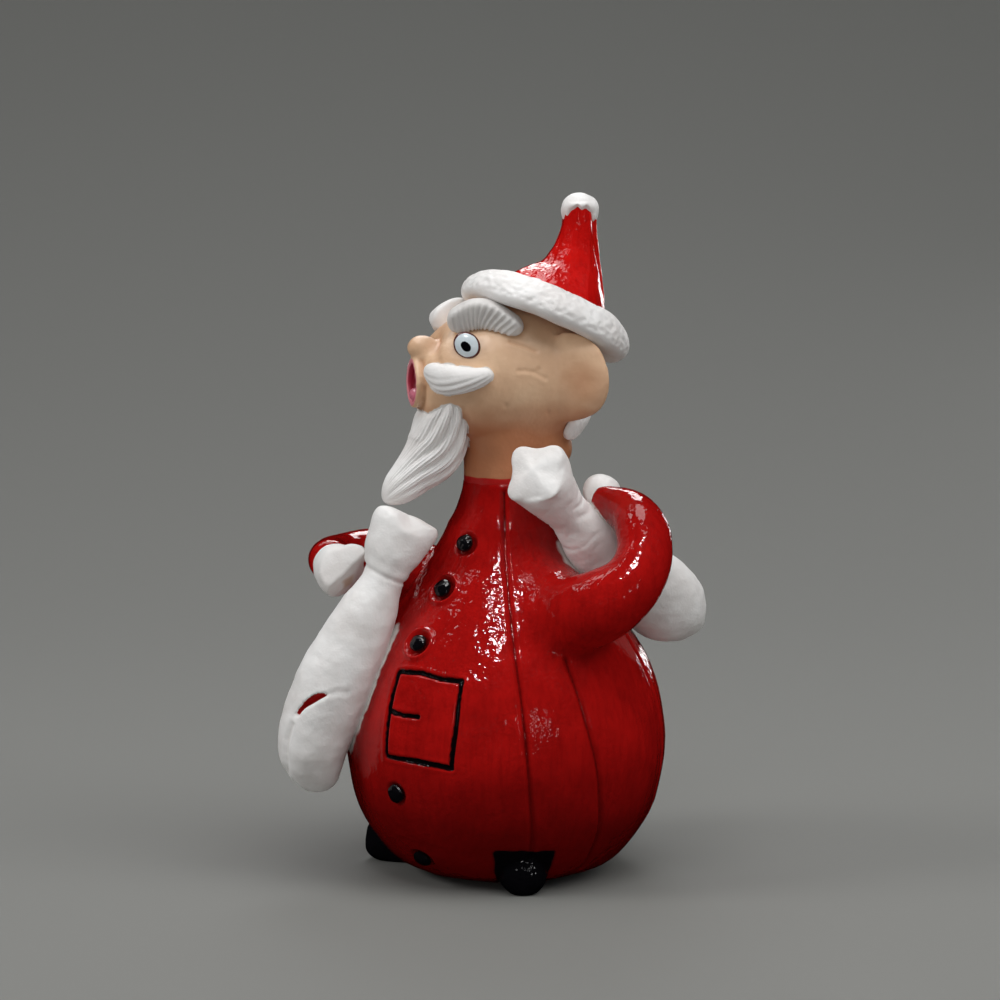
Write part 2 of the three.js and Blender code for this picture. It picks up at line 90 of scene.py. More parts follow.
def lump(stations, flat, columns, rows, domes=(0.1, 0.1), relief=None):
    """Rings of points round a smooth path. The last two numbers of a station are half its width,
    which lies along flat, and half its thickness. domes are the shares that round off at the ends."""
    stations = np.asarray(stations, float)
    along = eased(rows)
    around = np.arange(columns) / columns
    short = 1 - np.clip(np.minimum(along / domes[0], (1 - along) / domes[1]), 0, 1)
    size = smooth_line(stations[:, 3:], along, uniform=True) * np.sqrt(1 - short ** 2)[:, None]
    middle = smooth_line(stations[:, :3], along)
    step = 1e-4
    ahead = (smooth_line(stations[:, :3], np.minimum(along + step, 1))
             - smooth_line(stations[:, :3], np.maximum(along - step, 0)))
    ahead /= np.linalg.norm(ahead, axis=1, keepdims=True)
    side = np.asarray(flat, float) - ahead * (ahead @ np.asarray(flat, float))[:, None]
    side /= np.linalg.norm(side, axis=1, keepdims=True)
    over = np.cross(ahead, side)
    A, L = np.meshgrid(around, along)
    swell = np.ones_like(A) if relief is None else relief(A, L)
    angle = 2 * np.pi * A
    return (middle[:, None]
            + side[:, None] * (np.cos(angle) * swell * size[:, :1])[..., None]
            + over[:, None] * (np.sin(angle) * swell * size[:, 1:])[..., None])


# %% Rings of points become a closed skin
def skin(rings):
    """Points and faces of a closed skin over rings of points; the first and last ring are tips."""
    rows, columns = rings.shape[0] - 1, rings.shape[1]
    points = np.vstack([rings[0, :1], rings[1:-1].reshape(-1, 3), rings[-1, :1]])
    ring = lambda row, column: 1 + (row - 1) * columns + column % columns
    tip = len(points) - 1
    faces = [(0, ring(1, c + 1), ring(1, c)) for c in range(columns)]
    faces += [(ring(r, c), ring(r, c + 1), ring(r + 1, c + 1), ring(r + 1, c))
              for r in range(1, rows - 1) for c in range(columns)]
    faces += [(tip, ring(rows - 1, c), ring(rows - 1, c + 1)) for c in range(columns)]
    return points, faces


def rolled_skin(*shape):
    """The closed skin of a rolled lump."""
    return skin(lump(*shape))


def clay(name, *skins):
    """One object from one or more closed skins given in millimetres, faces pointing out."""
    points, faces, start = [], [], 0
    for place, corners in skins:
        points.append(place)
        faces += [tuple(k + start for k in face) for face in corners]
        start += len(place)
    mesh = bpy.data.meshes.new(name)
    mesh.from_pydata((np.vstack(points) * MM).tolist(), [], faces)
    shape = bmesh.new()
    shape.from_mesh(mesh)
    bmesh.ops.recalc_face_normals(shape, faces=shape.faces)
    shape.to_mesh(mesh)
    shape.free()
    piece = bpy.data.objects.new(name, mesh)
    bpy.context.scene.collection.objects.link(piece)
    return piece


# %% [markdown]
# ## Working the surface
# Fingers melt one lump into the next and the tool then cuts lines into it. This could be sculpted with
# brushes, but moves in code can be measured and repeated. Melting is a voxel remesh: it turns
# overlapping skins into one even skin. Relaxing evens it out like a damp sponge. Where a fine line
# will be cut the skin is divided first, so that the line stays crisp, and every cut or dimple is then
# a move of the points along their normals.

# %% Read and write the points of a piece, in millimetres
def places(piece):
    spots = np.empty(len(piece.data.vertices) * 3)
    piece.data.vertices.foreach_get("co", spots)
    return spots.reshape(-1, 3) / MM


def place(piece, spots):
    piece.data.vertices.foreach_set("co", (spots * MM).ravel())
    piece.data.update()


def outwards(piece):
    normals = np.empty(len(piece.data.vertices) * 3, np.float32)
    piece.data.vertex_normals.foreach_get("vector", normals)
    return normals.reshape(-1, 3).astype(float)


def neighbours(piece):
    ends = np.empty(len(piece.data.edges) * 2, np.int32)
    piece.data.edges.foreach_get("vertices", ends)
    return ends.reshape(-1, 2)


# %% Even out the skin
PULL = 0.5


def averaged(ends, values):
    """Each point's value becomes the mean of its neighbours' values."""
    total = np.zeros_like(values)
    count = np.zeros(len(values))
    for here, there in ((0, 1), (1, 0)):
        np.add.at(total, ends[:, here], values[ends[:, there]])
        np.add.at(count, ends[:, here], 1)
    return total / np.maximum(count, 1).reshape(-1, *[1] * (values.ndim - 1))


def relax(piece, rounds, hold=0.0):
    """Evens out the skin. hold, from 0 to 1, swells it back so that it keeps its size."""
    ends, spots = neighbours(piece), places(piece)
    for _ in range(rounds):
        for pull in (PULL, -PULL * hold):
            if pull:
                spots = spots + pull * (averaged(ends, spots) - spots)
    place(piece, spots)


def soften(piece, weights, rounds):
    """Relaxes the skin only where weights, from 0 to 1, ask for it."""
    ends, spots = neighbours(piece), places(piece)
    chosen = np.flatnonzero(weights > 0.01)
    ends = ends[np.isin(ends[:, 0], chosen) | np.isin(ends[:, 1], chosen)]
    count = np.maximum(np.bincount(ends.ravel(), minlength=len(spots)), 1)
    for _ in range(rounds):
        for axis in range(3):
            total = (np.bincount(ends[:, 0], spots[ends[:, 1], axis], len(spots))
                     + np.bincount(ends[:, 1], spots[ends[:, 0], axis], len(spots)))
            spots[chosen, axis] += PULL * weights[chosen] * (total / count - spots[:, axis])[chosen]
    place(piece, spots)


# %% Push points, and note a number at each of them
def push(piece, amount):
    """Moves each point along its normal, by a number of millimetres for each point."""
    place(piece, places(piece) + outwards(piece) * np.asarray(amount)[:, None])


def note(piece, name, values):
    """Keeps a number for each point, which the materials can read."""
    layer = piece.data.attributes.get(name) or piece.data.attributes.new(name, "FLOAT", "POINT")
    layer.data.foreach_set("value", np.asarray(values, np.float32))


def note_hollows(piece, rounds=10):
    """Notes as hollow how deep each point lies under the evened-out skin, in millimetres."""
    ends, spots = neighbours(piece), places(piece)
    even = spots
    for _ in range(rounds):
        even = averaged(ends, even)
    depth = np.einsum("ij,ij->i", even - spots, outwards(piece))
    note(piece, "hollow", averaged(ends, depth))


# %% Melt lumps together, and divide the skin where a line will run
def apply_modifiers(piece):
    view = bpy.context.evaluated_depsgraph_get()
    mesh = bpy.data.meshes.new_from_object(piece.evaluated_get(view))
    piece.modifiers.clear()
    piece.data = mesh


def melt(piece, voxel):
    """One even skin round everything in the piece. voxel is the size of its faces in millimetres."""
    tool = piece.modifiers.new("melt", "REMESH")
    tool.mode = "VOXEL"
    tool.voxel_size = voxel * MM
    apply_modifiers(piece)


def divide(piece, wanted):
    """Halves every edge that ends at a wanted point."""
    shape = bmesh.new()
    shape.from_mesh(piece.data)
    shape.verts.ensure_lookup_table()
    edges = [e for e in shape.edges if wanted[e.verts[0].index] or wanted[e.verts[1].index]]
    bmesh.ops.subdivide_edges(shape, edges=edges, cuts=1, use_grid_fill=True)
    bmesh.ops.triangulate(shape, faces=[f for f in shape.faces if len(f.verts) > 4])
    shape.to_mesh(piece.data)
    shape.free()


# %% Distances and small unevenness
def distance_to(line, spots, reach=6.0):
    """How far each spot lies from the nearest point of the line, in millimetres."""
    tree = kdtree.KDTree(len(line))
    for k, point in enumerate(line):
        tree.insert(point, k)
    tree.balance()
    low, high = line.min(0) - reach, line.max(0) + reach
    far = np.full(len(spots), 1e3)
    for k in np.flatnonzero(((spots > low) & (spots < high)).all(1)):
        far[k] = tree.find(spots[k])[2]
    return far


def uneven(spots, size, seed=0.0):
    """Soft random relief from -1 to 1 whose lumps are about size millimetres across."""
    shift = Vector((seed * 7.1, seed * 3.3, seed * 5.7))
    return np.array([noise.noise(Vector(p) + shift) for p in (spots / size).tolist()])


def worked(spots, *layers):
    """The sum of layers of unevenness, each given as millimetres, size and seed."""
    return sum(much * uneven(spots, size, seed) for much, size, seed in layers)


def bump(far, width):
    """1 in the middle of something and 0 beyond its width."""
    near = np.clip(1 - far / width, 0, 1)
    return near * near * (3 - 2 * near)


def band(values, middle, half):
    """1 where the values are at the middle, and 0 beyond half to each side of it."""
    return bump(np.abs(values - middle), half)


# %% [markdown]
# ## Paint and glaze
# Glossy red and black, and matt white and flesh colour, were brushed on the clay by hand. The finishes
# could be painted as pictures, but here they are one shader with other numbers, which keeps its scale
# on every piece. Colour varies in soft clouds, shade is painted darker into the hollows, and brush
# marks and the pull of the glaze show as a fine bump. The hat's red is brighter than the coat's, and
# the near brow is painted greyer, as painted shade on its face that looks down.

# %% Small tools for shader nodes
def add_node(tree, kind, links=(), **settings):
    """Adds a node. settings are its options or input values, links its inputs that are wired."""
    made = tree.nodes.new(kind)
    for name, value in settings.items():
        if hasattr(made, name):
            setattr(made, name, value)
        else:
            made.inputs[name.replace("_", " ")].default_value = value
    for name, socket in dict(links).items():
        tree.links.new(socket, made.inputs[name])
    return made


def mixed(tree, share, first, second):
    """A colour between two colours, where share, first and second may be sockets or plain values."""
    made = tree.nodes.new("ShaderNodeMix")
    made.data_type = "RGBA"
    # A mix node has inputs for several kinds of data: 0 is the share, 6 and 7 are the colours.
    for socket, value in ((made.inputs[0], share), (made.inputs[6], first), (made.inputs[7], second)):
        if isinstance(value, bpy.types.NodeSocket):
            tree.links.new(value, socket)
        else:
            socket.default_value = value
    return made.outputs[2]


def ramp(tree, value, low, high, bottom=0.0, top=1.0):
    """Turns the stretch from low to high into one from bottom to top."""
    made = add_node(tree, "ShaderNodeMapRange", {"Value": value}, From_Min=low, From_Max=high,
                    To_Min=bottom, To_Max=top)
    return made.outputs[0]


def clouds(tree, size, detail=3.0, stretch=(1, 1, 1)):
    """Random clouds, size millimetres across, stretched along the axes."""
    spots = add_node(tree, "ShaderNodeTexCoord").outputs["Object"]
    scaled = add_node(tree, "ShaderNodeMapping", {"Vector": spots}, Scale=stretch).outputs[0]
    made = add_node(tree, "ShaderNodeTexNoise", {"Vector": scaled}, Scale=1 / (size * MM),
                    Detail=detail, Roughness=0.55)
    return made.outputs["Fac"]


def attribute(tree, name):
    made = tree.nodes.new("ShaderNodeAttribute")
    made.attribute_name = name
    return made.outputs["Fac"]


def srgb(red, green, blue):
    """A colour read off a screen, from 0 to 255, as the shader wants it."""
    linear = [(c / 255 / 12.92) if c <= 10 else ((c / 255 + 0.055) / 1.055) ** 2.4
              for c in (red, green, blue)]
    return (*linear, 1.0)


# %% One finish with many numbers
def finish(name, colour, shade, rough, grain, strength, gloss=0.0, streak=None, layers=(), deep=0.35,
           shine=0.5, crumbs=4.0):
    """colour clouds into shade, which is strongest in hollows that are deep millimetres deep. rough is
    the lowest and the highest roughness, and shine and gloss are the strength of the reflection and of
    a clear coat. grain is the bump's size in millimetres, strength its height, and crumbs how much
    finer grain is in it. streak stretches the brush marks. layers are painted on top, each given as
    attribute, colour and strength."""
    made = bpy.data.materials.new(name)
    made.use_nodes = True
    tree = made.node_tree
    shader = tree.nodes["Principled BSDF"]
    # Each ramp's first two numbers say between which values of the clouds the change happens.
    cloudy = ramp(tree, clouds(tree, 9.0), 0.35, 0.7, top=0.45)
    surface = mixed(tree, cloudy, colour, shade)
    if streak:
        brushed = ramp(tree, clouds(tree, 1.2, 4.0, streak), 0.45, 0.7, top=0.35)
        surface = mixed(tree, brushed, surface, shade)
    # Painted shade: the shade colour is painted into the hollows, darkest where they are deepest.
    hollow = ramp(tree, attribute(tree, "hollow"), 0.02, deep, top=0.9)
    surface = mixed(tree, hollow, surface, shade)
    for layer, paint, most in layers:
        surface = mixed(tree, ramp(tree, attribute(tree, layer), 0.3, 0.7, top=most), surface, paint)
    tree.links.new(surface, shader.inputs["Base Color"])
    tree.links.new(ramp(tree, clouds(tree, 5.0), 0.3, 0.7, *rough), shader.inputs["Roughness"])
    shader.inputs["Specular IOR Level"].default_value = shine
    shader.inputs["Coat Weight"].default_value = gloss
    shader.inputs["Coat Roughness"].default_value = 0.04
    patchy = ramp(tree, clouds(tree, 12.0, 2.0), 0.4, 0.62, strength * 0.35, strength)
    fine = add_node(tree, "ShaderNodeBump", {"Height": clouds(tree, grain, crumbs), "Strength": patchy},
                    Distance=grain * MM * 0.35)
    broad = add_node(tree, "ShaderNodeBump", {
        "Height": clouds(tree, grain * 4, 2.0, streak or (1, 1, 1)), "Normal": fine.outputs[0]},
        Strength=strength * 0.6, Distance=grain * MM)
    tree.links.new(broad.outputs[0], shader.inputs["Normal"])
    return made


# %% The finishes
BRUSHED_DOWN = (1.0, 1.0, 0.16)
BLACK_PAINT = srgb(11, 9, 11)
# Red glaze's first layer is painted shade: a darker red towards the coat's bottom and along its seams.
red_glaze = finish("red glaze", srgb(172, 19, 17), srgb(116, 10, 10), rough=(0.04, 0.09), grain=1.2,
                   strength=0.5, streak=BRUSHED_DOWN, shine=0.22, crumbs=1.0,
                   layers=[("low", srgb(82, 7, 7), 0.75), ("black", BLACK_PAINT, 1.0),
                           ("white", srgb(226, 220, 216), 1.0)])
bright_glaze = finish("hat red", srgb(208, 22, 18), srgb(152, 8, 9), rough=(0.06, 0.16), grain=1.2,
                      strength=0.6, streak=BRUSHED_DOWN, shine=0.24, crumbs=1.0)
white_paint = finish("matt white", srgb(245, 243, 241), srgb(208, 199, 194), rough=(0.6, 0.8),
                     grain=0.5, strength=0.35, deep=0.5,
                     layers=[("red", srgb(196, 14, 14), 1.0), ("bare", srgb(204, 176, 150), 0.8)])
# A greyer white for the near brow: painted shade on its face that looks down.
shaded_white_paint = finish("shaded brow white", srgb(228, 225, 222), srgb(158, 151, 147), rough=(0.6, 0.8),
                    grain=0.5, strength=0.35, deep=0.32)
# Flesh's first layer is painted shade: a deeper, reddish brown towards the jaw, the neck and the ears.
flesh_paint = finish("flesh", srgb(232, 194, 158), srgb(186, 130, 92), rough=(0.36, 0.52), grain=0.8,
                     strength=0.3,
                     layers=[("warm_shade", srgb(188, 112, 66), 0.8), ("white", srgb(232, 228, 224), 1.0),
                             ("lips", srgb(226, 138, 148), 1.0), ("mouth", srgb(176, 40, 66), 1.0),
                             ("red", srgb(190, 10, 8), 1.0)])
black_gloss = finish("black gloss", srgb(13, 12, 15), srgb(5, 5, 7), rough=(0.05, 0.14), grain=1.2,
                     strength=0.8, shine=0.4, crumbs=1.0)
pink_paint = finish("tongue pink", srgb(230, 138, 158), srgb(176, 60, 84), rough=(0.25, 0.4), grain=0.6,
                    strength=0.3, gloss=0.3)
eye_paint = finish("eye", srgb(220, 229, 233), srgb(196, 208, 216), rough=(0.1, 0.2), grain=0.8,
                   strength=0.1, gloss=0.2,
                   layers=[("outline", srgb(84, 34, 32), 1.0), ("black", srgb(6, 6, 10), 1.0)])
print("materials, with those of the frame:", len(bpy.data.materials))


# %% Hand a finished piece to the frame
def done(piece, material, slot, *nodes):
    piece.data.materials.clear()
    piece.data.materials.append(material)
    piece.data.polygons.foreach_set("use_smooth", [True] * len(piece.data.polygons))
    note_hollows(piece)
    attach(piece, "root")
    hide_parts(*nodes)
    triangles = sum(len(face.vertices) - 2 for face in piece.data.polygons)
    print(f"{piece.name}: {triangles} triangles")
    return piece


# %% [markdown]
# ## The coat and its sleeves
# The coat is a pear of clay, pinched hollow and closed at the neck, and the sleeves are rolls pressed
# on at the sides. They could be three objects that pass through each other, but the maker smoothed
# the joins with a wet finger. So coat and sleeves are melted into one skin here.

# %% The coat's round outline
COAT = [[15, 0], [24.4, 3.4], [32, 12.9], [35.1, 23], [35.7, 33], [33.2, 44.5], [27.8, 55],
        [20.9, 65], [15.2, 74.5], [11.2, 81.5], [9.3, 88]]


def turns(columns):
    """Angles all the way round."""
    return 2 * np.pi * np.arange(columns) / columns


def turned(outline, columns, rows):
    """A round body with a flat bottom and top, from radius and height."""
    shares = np.clip((np.arange(rows + 1) - 1) / (rows - 2), 0, 1)
    r, z = smooth_line(outline, shares, uniform=True, doubled_ends=True).T
    r[[0, -1]] = 0
    angle = turns(columns)
    return np.stack([np.outer(r, np.sin(angle)), -np.outer(r, np.cos(angle)),
                     np.repeat(z[:, None], columns, 1)], -1)


coat_curve = smooth_line(COAT, np.linspace(0, 1, 400), uniform=True, doubled_ends=True)


def coat_radius(height):
    return np.interp(height, coat_curve[:, 1], coat_curve[:, 0])


def on_coat(azimuth, height):
    """A place on the coat. Azimuth 0 is his front, and + goes to his left."""
    angle, radius = np.radians(azimuth), coat_radius(height)
    return np.stack([radius * np.sin(angle), -radius * np.cos(angle), height + 0 * angle], -1)


print("the coat's greatest radius:", round(coat_curve[:, 0].max(), 1), "mm")

# %% Melt the sleeves onto the coat
SLEEVE_LEFT = [[12, 1, 58, 13, 12.5], [21, -1.6, 59.6, 10.4, 10], [27.4, -3.1, 61.3, 8.6, 8.5],
               [33.4, -1.2, 64, 7.9, 7.9], [37.2, 3, 68.6, 6.8, 6.8], [36.9, 6.8, 74.2, 6.2, 6.2],
               [33.6, 9.2, 79.3, 6, 5.8], [28.4, 10.1, 82.4, 5.1, 5.1], [23, 9.6, 84, 3.9, 3.9],
               [20, 8.9, 84.9, 3.4, 3.4]]
SLEEVE_RIGHT = [[-16, 4, 57, 8, 8], [-28, 2, 62, 7.8, 7.8], [-37.5, -6, 66.6, 7, 7],
                [-39.3, -14, 67.2, 6.1, 6.1], [-35.2, -21.5, 68.1, 5.2, 5.2],
                [-29.5, -26.5, 68.8, 4.5, 4.5]]
SLEEVE_ENDS = (0.05, 0.04)
coat = clay("coat_glazed", skin(turned(COAT, 180, 120)),
            rolled_skin(SLEEVE_LEFT, (0.21, -0.87, 0.44), 64, 90, SLEEVE_ENDS),
            rolled_skin(SLEEVE_RIGHT, (0, 0, 1), 64, 80, SLEEVE_ENDS))
melt(coat, 0.72)
relax(coat, 5, hold=0.9)
print("coat and sleeves:", len(coat.data.vertices), "points")

# %% Smooth the shoulders
# The join is where the skin stands this far off the bare coat, between these heights.
JOIN_STANDS, JOIN_WIDE = 1.5, 6.5
JOIN_LOW, JOIN_HIGH = 38, 78
SMOOTHING_ROUNDS = 190
spots = places(coat)
height = spots[:, 2]
beyond = np.hypot(spots[:, 0], spots[:, 1]) - coat_radius(height)
# Little below the first height, and full strength from 8 mm above it.
strength = np.clip((height - 52) / 8, 0.12, 1)
shoulder = band(beyond, JOIN_STANDS, JOIN_WIDE) * strength
shoulder *= (height < JOIN_HIGH) * (height > JOIN_LOW)
soften(coat, shoulder, SMOOTHING_ROUNDS)
print("points smoothed at the shoulders:", np.count_nonzero(shoulder > 0.01))

# %% [markdown]
# The modelling tool drew seams down the coat, a square pocket with a short slit, and a crease between
# the upper buttons. Each button sits in a little socket that was pressed in with something round, and
# two of the sockets have a raised rim. A bump in the material could fake them, but real cuts catch the
# light from every side. So the lines are drawn as points on the coat, and the skin sinks near them.

# %% Lines drawn with the tool
# A seam's azimuth at the level, its drift in degrees for each millimetre down, and its top.
SEAMS = [(-121, -0.15, 74), (-79, -0.3, 52), (-50, -0.17, 86), (53, 0.17, 86), (76, 0.33, 52),
         (121, 0.15, 74), (180, 0, 86)]
LEVEL, SEAM_FOOT = 46, 4


def drawn(corners, step=0.25):
    """Points along a line that joins the corners on the coat, given as azimuth and height."""
    corners = np.asarray(corners, float)
    points = []
    for a, b in zip(corners[:-1], corners[1:]):
        count = max(2, int(np.linalg.norm(on_coat(*a) - on_coat(*b)) / step))
        shares = np.linspace(0, 1, count)[:, None]
        points.append(on_coat(*((1 - shares) * a + shares * b).T))
    return np.vstack(points)


seam_lines = []
for azimuth, drift, top in SEAMS:
    heights = np.linspace(SEAM_FOOT, top, 40)
    wander = 0.35 * np.sin(heights / 9 + azimuth)
    seam_lines.append(drawn(np.stack([azimuth + drift * (LEVEL - heights) + wander, heights], 1)))
seam_lines = np.vstack(seam_lines)
POCKET = [(0.8, 48.5), (12, 48.9), (22, 48.1), (30.7, 47.9), (30.3, 39), (29, 29.7), (15, 30.4),
          (2.2, 30.5), (1.1, 39.5), (0.8, 48.5)]
pocket_lines = np.vstack([drawn(POCKET), drawn([(1.6, 40.2), (8, 39.8), (14.9, 39.9)])])
crease_line = drawn([(9, 72.6), (8.6, 70.4), (7, 68.7)])
print("points along the lines:", len(seam_lines) + len(pocket_lines) + len(crease_line))

# %% The buttons' places
BUTTONS = [(10.7, 75.2), (5.7, 65.7), (5.5, 54.5), (5.3, 22.4), (7.3, 6.9)]
RIMMED = (1, 2)


def out_of_coat(azimuth, height):
    """The direction straight out of the coat's side."""
    rise = on_coat(azimuth, height + 2.0) - on_coat(azimuth, height - 2.0)
    angle = math.radians(azimuth)
    out = np.cross([math.cos(angle), math.sin(angle), 0], rise)
    return out / np.linalg.norm(out)


print("buttons:", len(BUTTONS), "with a raised rim:", len(RIMMED))

# %% Divide the skin where they will be
# How near a point has to be, in millimetres, for its edges to be halved.
TO_LINE, TO_BUTTON, TO_FINE_LINE = 1.4, 4.8, 0.9
button_spots = np.array([on_coat(*b) for b in BUTTONS])
fine_lines = np.vstack([pocket_lines, crease_line])
spots = places(coat)
near = distance_to(np.vstack([seam_lines, fine_lines]), spots) < TO_LINE
for middle in button_spots:
    near |= np.linalg.norm(spots - middle, axis=1) < TO_BUTTON
divide(coat, near)
divide(coat, distance_to(fine_lines, places(coat)) < TO_FINE_LINE)
print("the coat once divided:", len(coat.data.vertices), "points")

# %% Push the lines in
# Each line's depth and half width, in millimetres.
SEAM_CUT, POCKET_CUT, CREASE_CUT = (0.7, 1.05), (0.7, 0.85), (0.4, 1.0)
POCKET_BURR = {"away": 1.1, "high": 0.12, "half": 0.6}
spots = places(coat)
seam = distance_to(seam_lines, spots)
pocket = distance_to(pocket_lines, spots)
crease = distance_to(crease_line, spots)
depth = -SEAM_CUT[0] * bump(seam, SEAM_CUT[1])
depth += (-POCKET_CUT[0] * bump(pocket, POCKET_CUT[1])
          + POCKET_BURR["high"] * band(pocket, POCKET_BURR["away"], POCKET_BURR["half"]))
depth += -CREASE_CUT[0] * bump(crease, CREASE_CUT[1])
print("points in the lines:", np.count_nonzero(depth < 0))

# %% Push the sockets in
SOCKET = {"floor": 1.6, "slope": 1.5, "deep": 1.1}
RIM = {"radius": 3.5, "high": 0.6, "wide": 0.8}
for k, (azimuth, height) in enumerate(BUTTONS):
    out = out_of_coat(azimuth, height)
    apart = spots - button_spots[k]
    level = apart @ out
    aside = np.linalg.norm(apart - level[:, None] * out, axis=1)
    here = np.abs(level) < 4
    depth += here * -SOCKET["deep"] * bump(np.maximum(aside - SOCKET["floor"], 0), SOCKET["slope"])
    if k in RIMMED:
        depth += here * RIM["high"] * band(aside, RIM["radius"], RIM["wide"])
push(coat, depth)
print("deepest cut:", round(-depth.min(), 2), "mm")

# %% Finger marks, paint and painted shade on the coat
# Black runs from each boot up the coat, in a patch this wide to each side and this tall.
PATCH = {"azimuth": 56, "mm_per_degree": 0.53, "half": 5.9, "tall": 9.6, "soft": 2.2}
spots = places(coat)
push(coat, worked(spots, (0.28, 11, 1), (0.1, 4.5, 2), (0.03, 1.6, 3)))
azimuth = np.degrees(np.arctan2(spots[:, 0], -spots[:, 1]))
aside = np.abs(np.abs(azimuth) - PATCH["azimuth"]) * PATCH["mm_per_degree"]
off = np.hypot(np.maximum(aside - PATCH["half"], 0), np.maximum(spots[:, 2] - PATCH["tall"], 0))
shod = bump(off + 0.45 * uneven(spots, 3, 5), PATCH["soft"])
push(coat, -0.3 * shod)
inked = bump(np.maximum(pocket - 0.2, 0) + 0.16 * uneven(spots, 1.1, 4), 0.8)
note(coat, "black", np.maximum(inked, shod))
# Painted shade: the coat is painted darker towards its bottom and along its seams.
shaded = np.clip((34 - spots[:, 2] + 5 * uneven(spots, 16, 6)) / 40 + 0.25, 0, 0.75)
note(coat, "low", np.maximum(shaded, 0.8 * bump(seam, 0.55)))
done(coat, red_glaze, "red_glaze", "coat", "sleeve_left", "sleeve_right")

# %% [markdown]
# ## Buttons and boots
# The buttons are small black balls, pressed flat into their sockets, and the boots are two toes that
# look out from under the coat. Blender's own spheres would be too even, so both are built from rings
# and then dented by random unevenness. The toes are squared off at the tip and cut flat by the floor.

# %% Buttons
def turned_to(direction, spots):
    """Turns spots so that their Z looks in the direction."""
    turn = Vector((0, 0, 1)).rotation_difference(Vector(direction)).to_matrix()
    return spots @ np.array(turn).T


def dome(columns, rows, radii):
    """A flattened ball round the origin."""
    tilt = np.pi * np.arange(rows + 1) / rows
    angle = turns(columns)
    ball = np.stack([np.outer(np.sin(tilt), np.cos(angle)), np.outer(np.sin(tilt), np.sin(angle)),
                     np.repeat(np.cos(tilt)[:, None], columns, 1)], -1)
    return ball * radii


BUTTON = {"wide": 2.15, "tall": (2.0, 2.1), "thick": 1.15}
for k, (azimuth, height) in enumerate(BUTTONS):
    points, faces = skin(dome(48, 28, (BUTTON["wide"], BUTTON["tall"][k % 2], BUTTON["thick"])))
    points = turned_to(out_of_coat(azimuth, height), points) + button_spots[k]
    button = clay(f"button_{k + 1}_black", (points, faces))
    push(button, 0.16 * uneven(points, 1.7, 10 + k))
    done(button, black_gloss, "black_gloss", f"button_{k + 1}")

# %% Boots
BOOT = {"azimuth": 57, "inner": 15, "wide": 5.4, "tall": 4.8, "swell": 1.2, "square": 2.2, "blunt": 0.9}


def toe(side, outer, columns=80, rows=60):
    """Rings from the inner end to the tip, which is outer millimetres from the coat's axis."""
    angle = math.radians(side * BOOT["azimuth"])
    along = eased(rows)
    power = BOOT["square"] + BOOT["blunt"] * (along > 0.5)
    round_off = np.maximum(1 - np.abs(2 * along - 1) ** power, 0) ** (1 / power)
    turn = turns(columns)
    reach = np.repeat((BOOT["inner"] + (outer - BOOT["inner"]) * along)[:, None], columns, 1)
    across = BOOT["wide"] * np.outer(round_off, np.cos(turn))
    up = np.maximum(0, BOOT["tall"] * (1 + BOOT["swell"] * np.outer(round_off, np.sin(turn))))
    return np.stack([reach * math.sin(angle) + across * math.cos(angle),
                     -reach * math.cos(angle) + across * math.sin(angle), up], -1)


for name, side, outer in (("left", 1, 28.8), ("right", -1, 32.6)):
    boot = clay(f"boot_{name}_black", skin(toe(side, outer)))
    melt(boot, 0.3)
    relax(boot, 8, hold=0.9)
    spots = places(boot)
    above_floor = np.clip(spots[:, 2] / 1.5, 0, 1)
    push(boot, above_floor * worked(spots, (0.3, 4, 20), (0.12, 1.8, 21)))
    done(boot, black_gloss, "black_gloss", f"boot_{name}")

# %% [markdown]
# ## The head
# An egg of clay lies on its side on a short neck, with a pinched nose, a ring of clay for the lips and
# two big slabs for ears. The mouth is cut out of the egg with a Boolean, and the rest is melted
# together, because the maker smoothed these lumps into one skin. Everything on the head is told in
# the head's own frame, whose front is -Y, and is then turned a little to his right.

# %% Turn from the head's frame to the body's
HEAD_TURN = math.radians(-25)


def about_z(angle):
    """The matrix of a turn about Z."""
    c, s = math.cos(angle), math.sin(angle)
    return np.array([[c, -s, 0], [s, c, 0], [0, 0, 1]])


TURN = about_z(HEAD_TURN)


def turned_head(points, faces):
    return points @ TURN.T, faces


def head_lump(*shape):
    """The skin of a rolled lump that is told in the head's frame."""
    return turned_head(*rolled_skin(*shape))


def in_head(spots):
    """Places of the body's frame, told in the head's own frame."""
    return spots @ TURN


def mirrored(stations):
    return [[-x, *rest] for x, *rest in stations]


print("the head turns by", round(math.degrees(HEAD_TURN)), "degrees")

# %% Egg, neck, nose, ears and mouth
EGG = [[0, -19.9, 109.7, 6.4, 6.6], [0, -16.6, 109.7, 9.6, 9.6], [0, -12.5, 110.7, 11.8, 13],
       [0, -7.5, 111, 13.6, 15.2], [0, 0, 111, 14.8, 16], [0, 9, 110.6, 14.8, 15.6],
       [0, 17.8, 110.4, 10, 11.5]]
NECK = [[9.2, 87], [9.2, 91], [9.4, 94], [10.4, 98], [10, 102]]
NECK_BACK = [[0, 3, 90, 8.6, 7.6], [0, 6.5, 96, 10, 8.6], [0, 9, 101, 10, 8.6]]
NOSE = [[0, -13, 113.4, 5, 4.6], [0, -17.4, 115.6, 3.8, 3.2], [0, -20.4, 117.4, 2.7, 2.3],
        [0, -24.6, 119.4, 2.5, 2.2]]
EAR = [[12.8, 9, 121.2, 5.2, 1.7], [15.3, 11.2, 110.4, 7.5, 1.8], [11.6, 9.2, 101.2, 4.2, 1.7]]
EAR_FLAT = (0.5, 0.87, 0)
MOUTH = {"y": -20.9, "z": 110, "wide": 3.9, "tall": 4.9, "lip": 0.85, "depth": 5, "narrows": 0.22}


def ring_faces(columns, rows):
    """The faces of a closed ring, whose points run round the small circle first."""
    spot = lambda i, j: (i % columns) * rows + j % rows
    return [(spot(i, j), spot(i + 1, j), spot(i + 1, j + 1), spot(i, j + 1))
            for i in range(columns) for j in range(rows)]


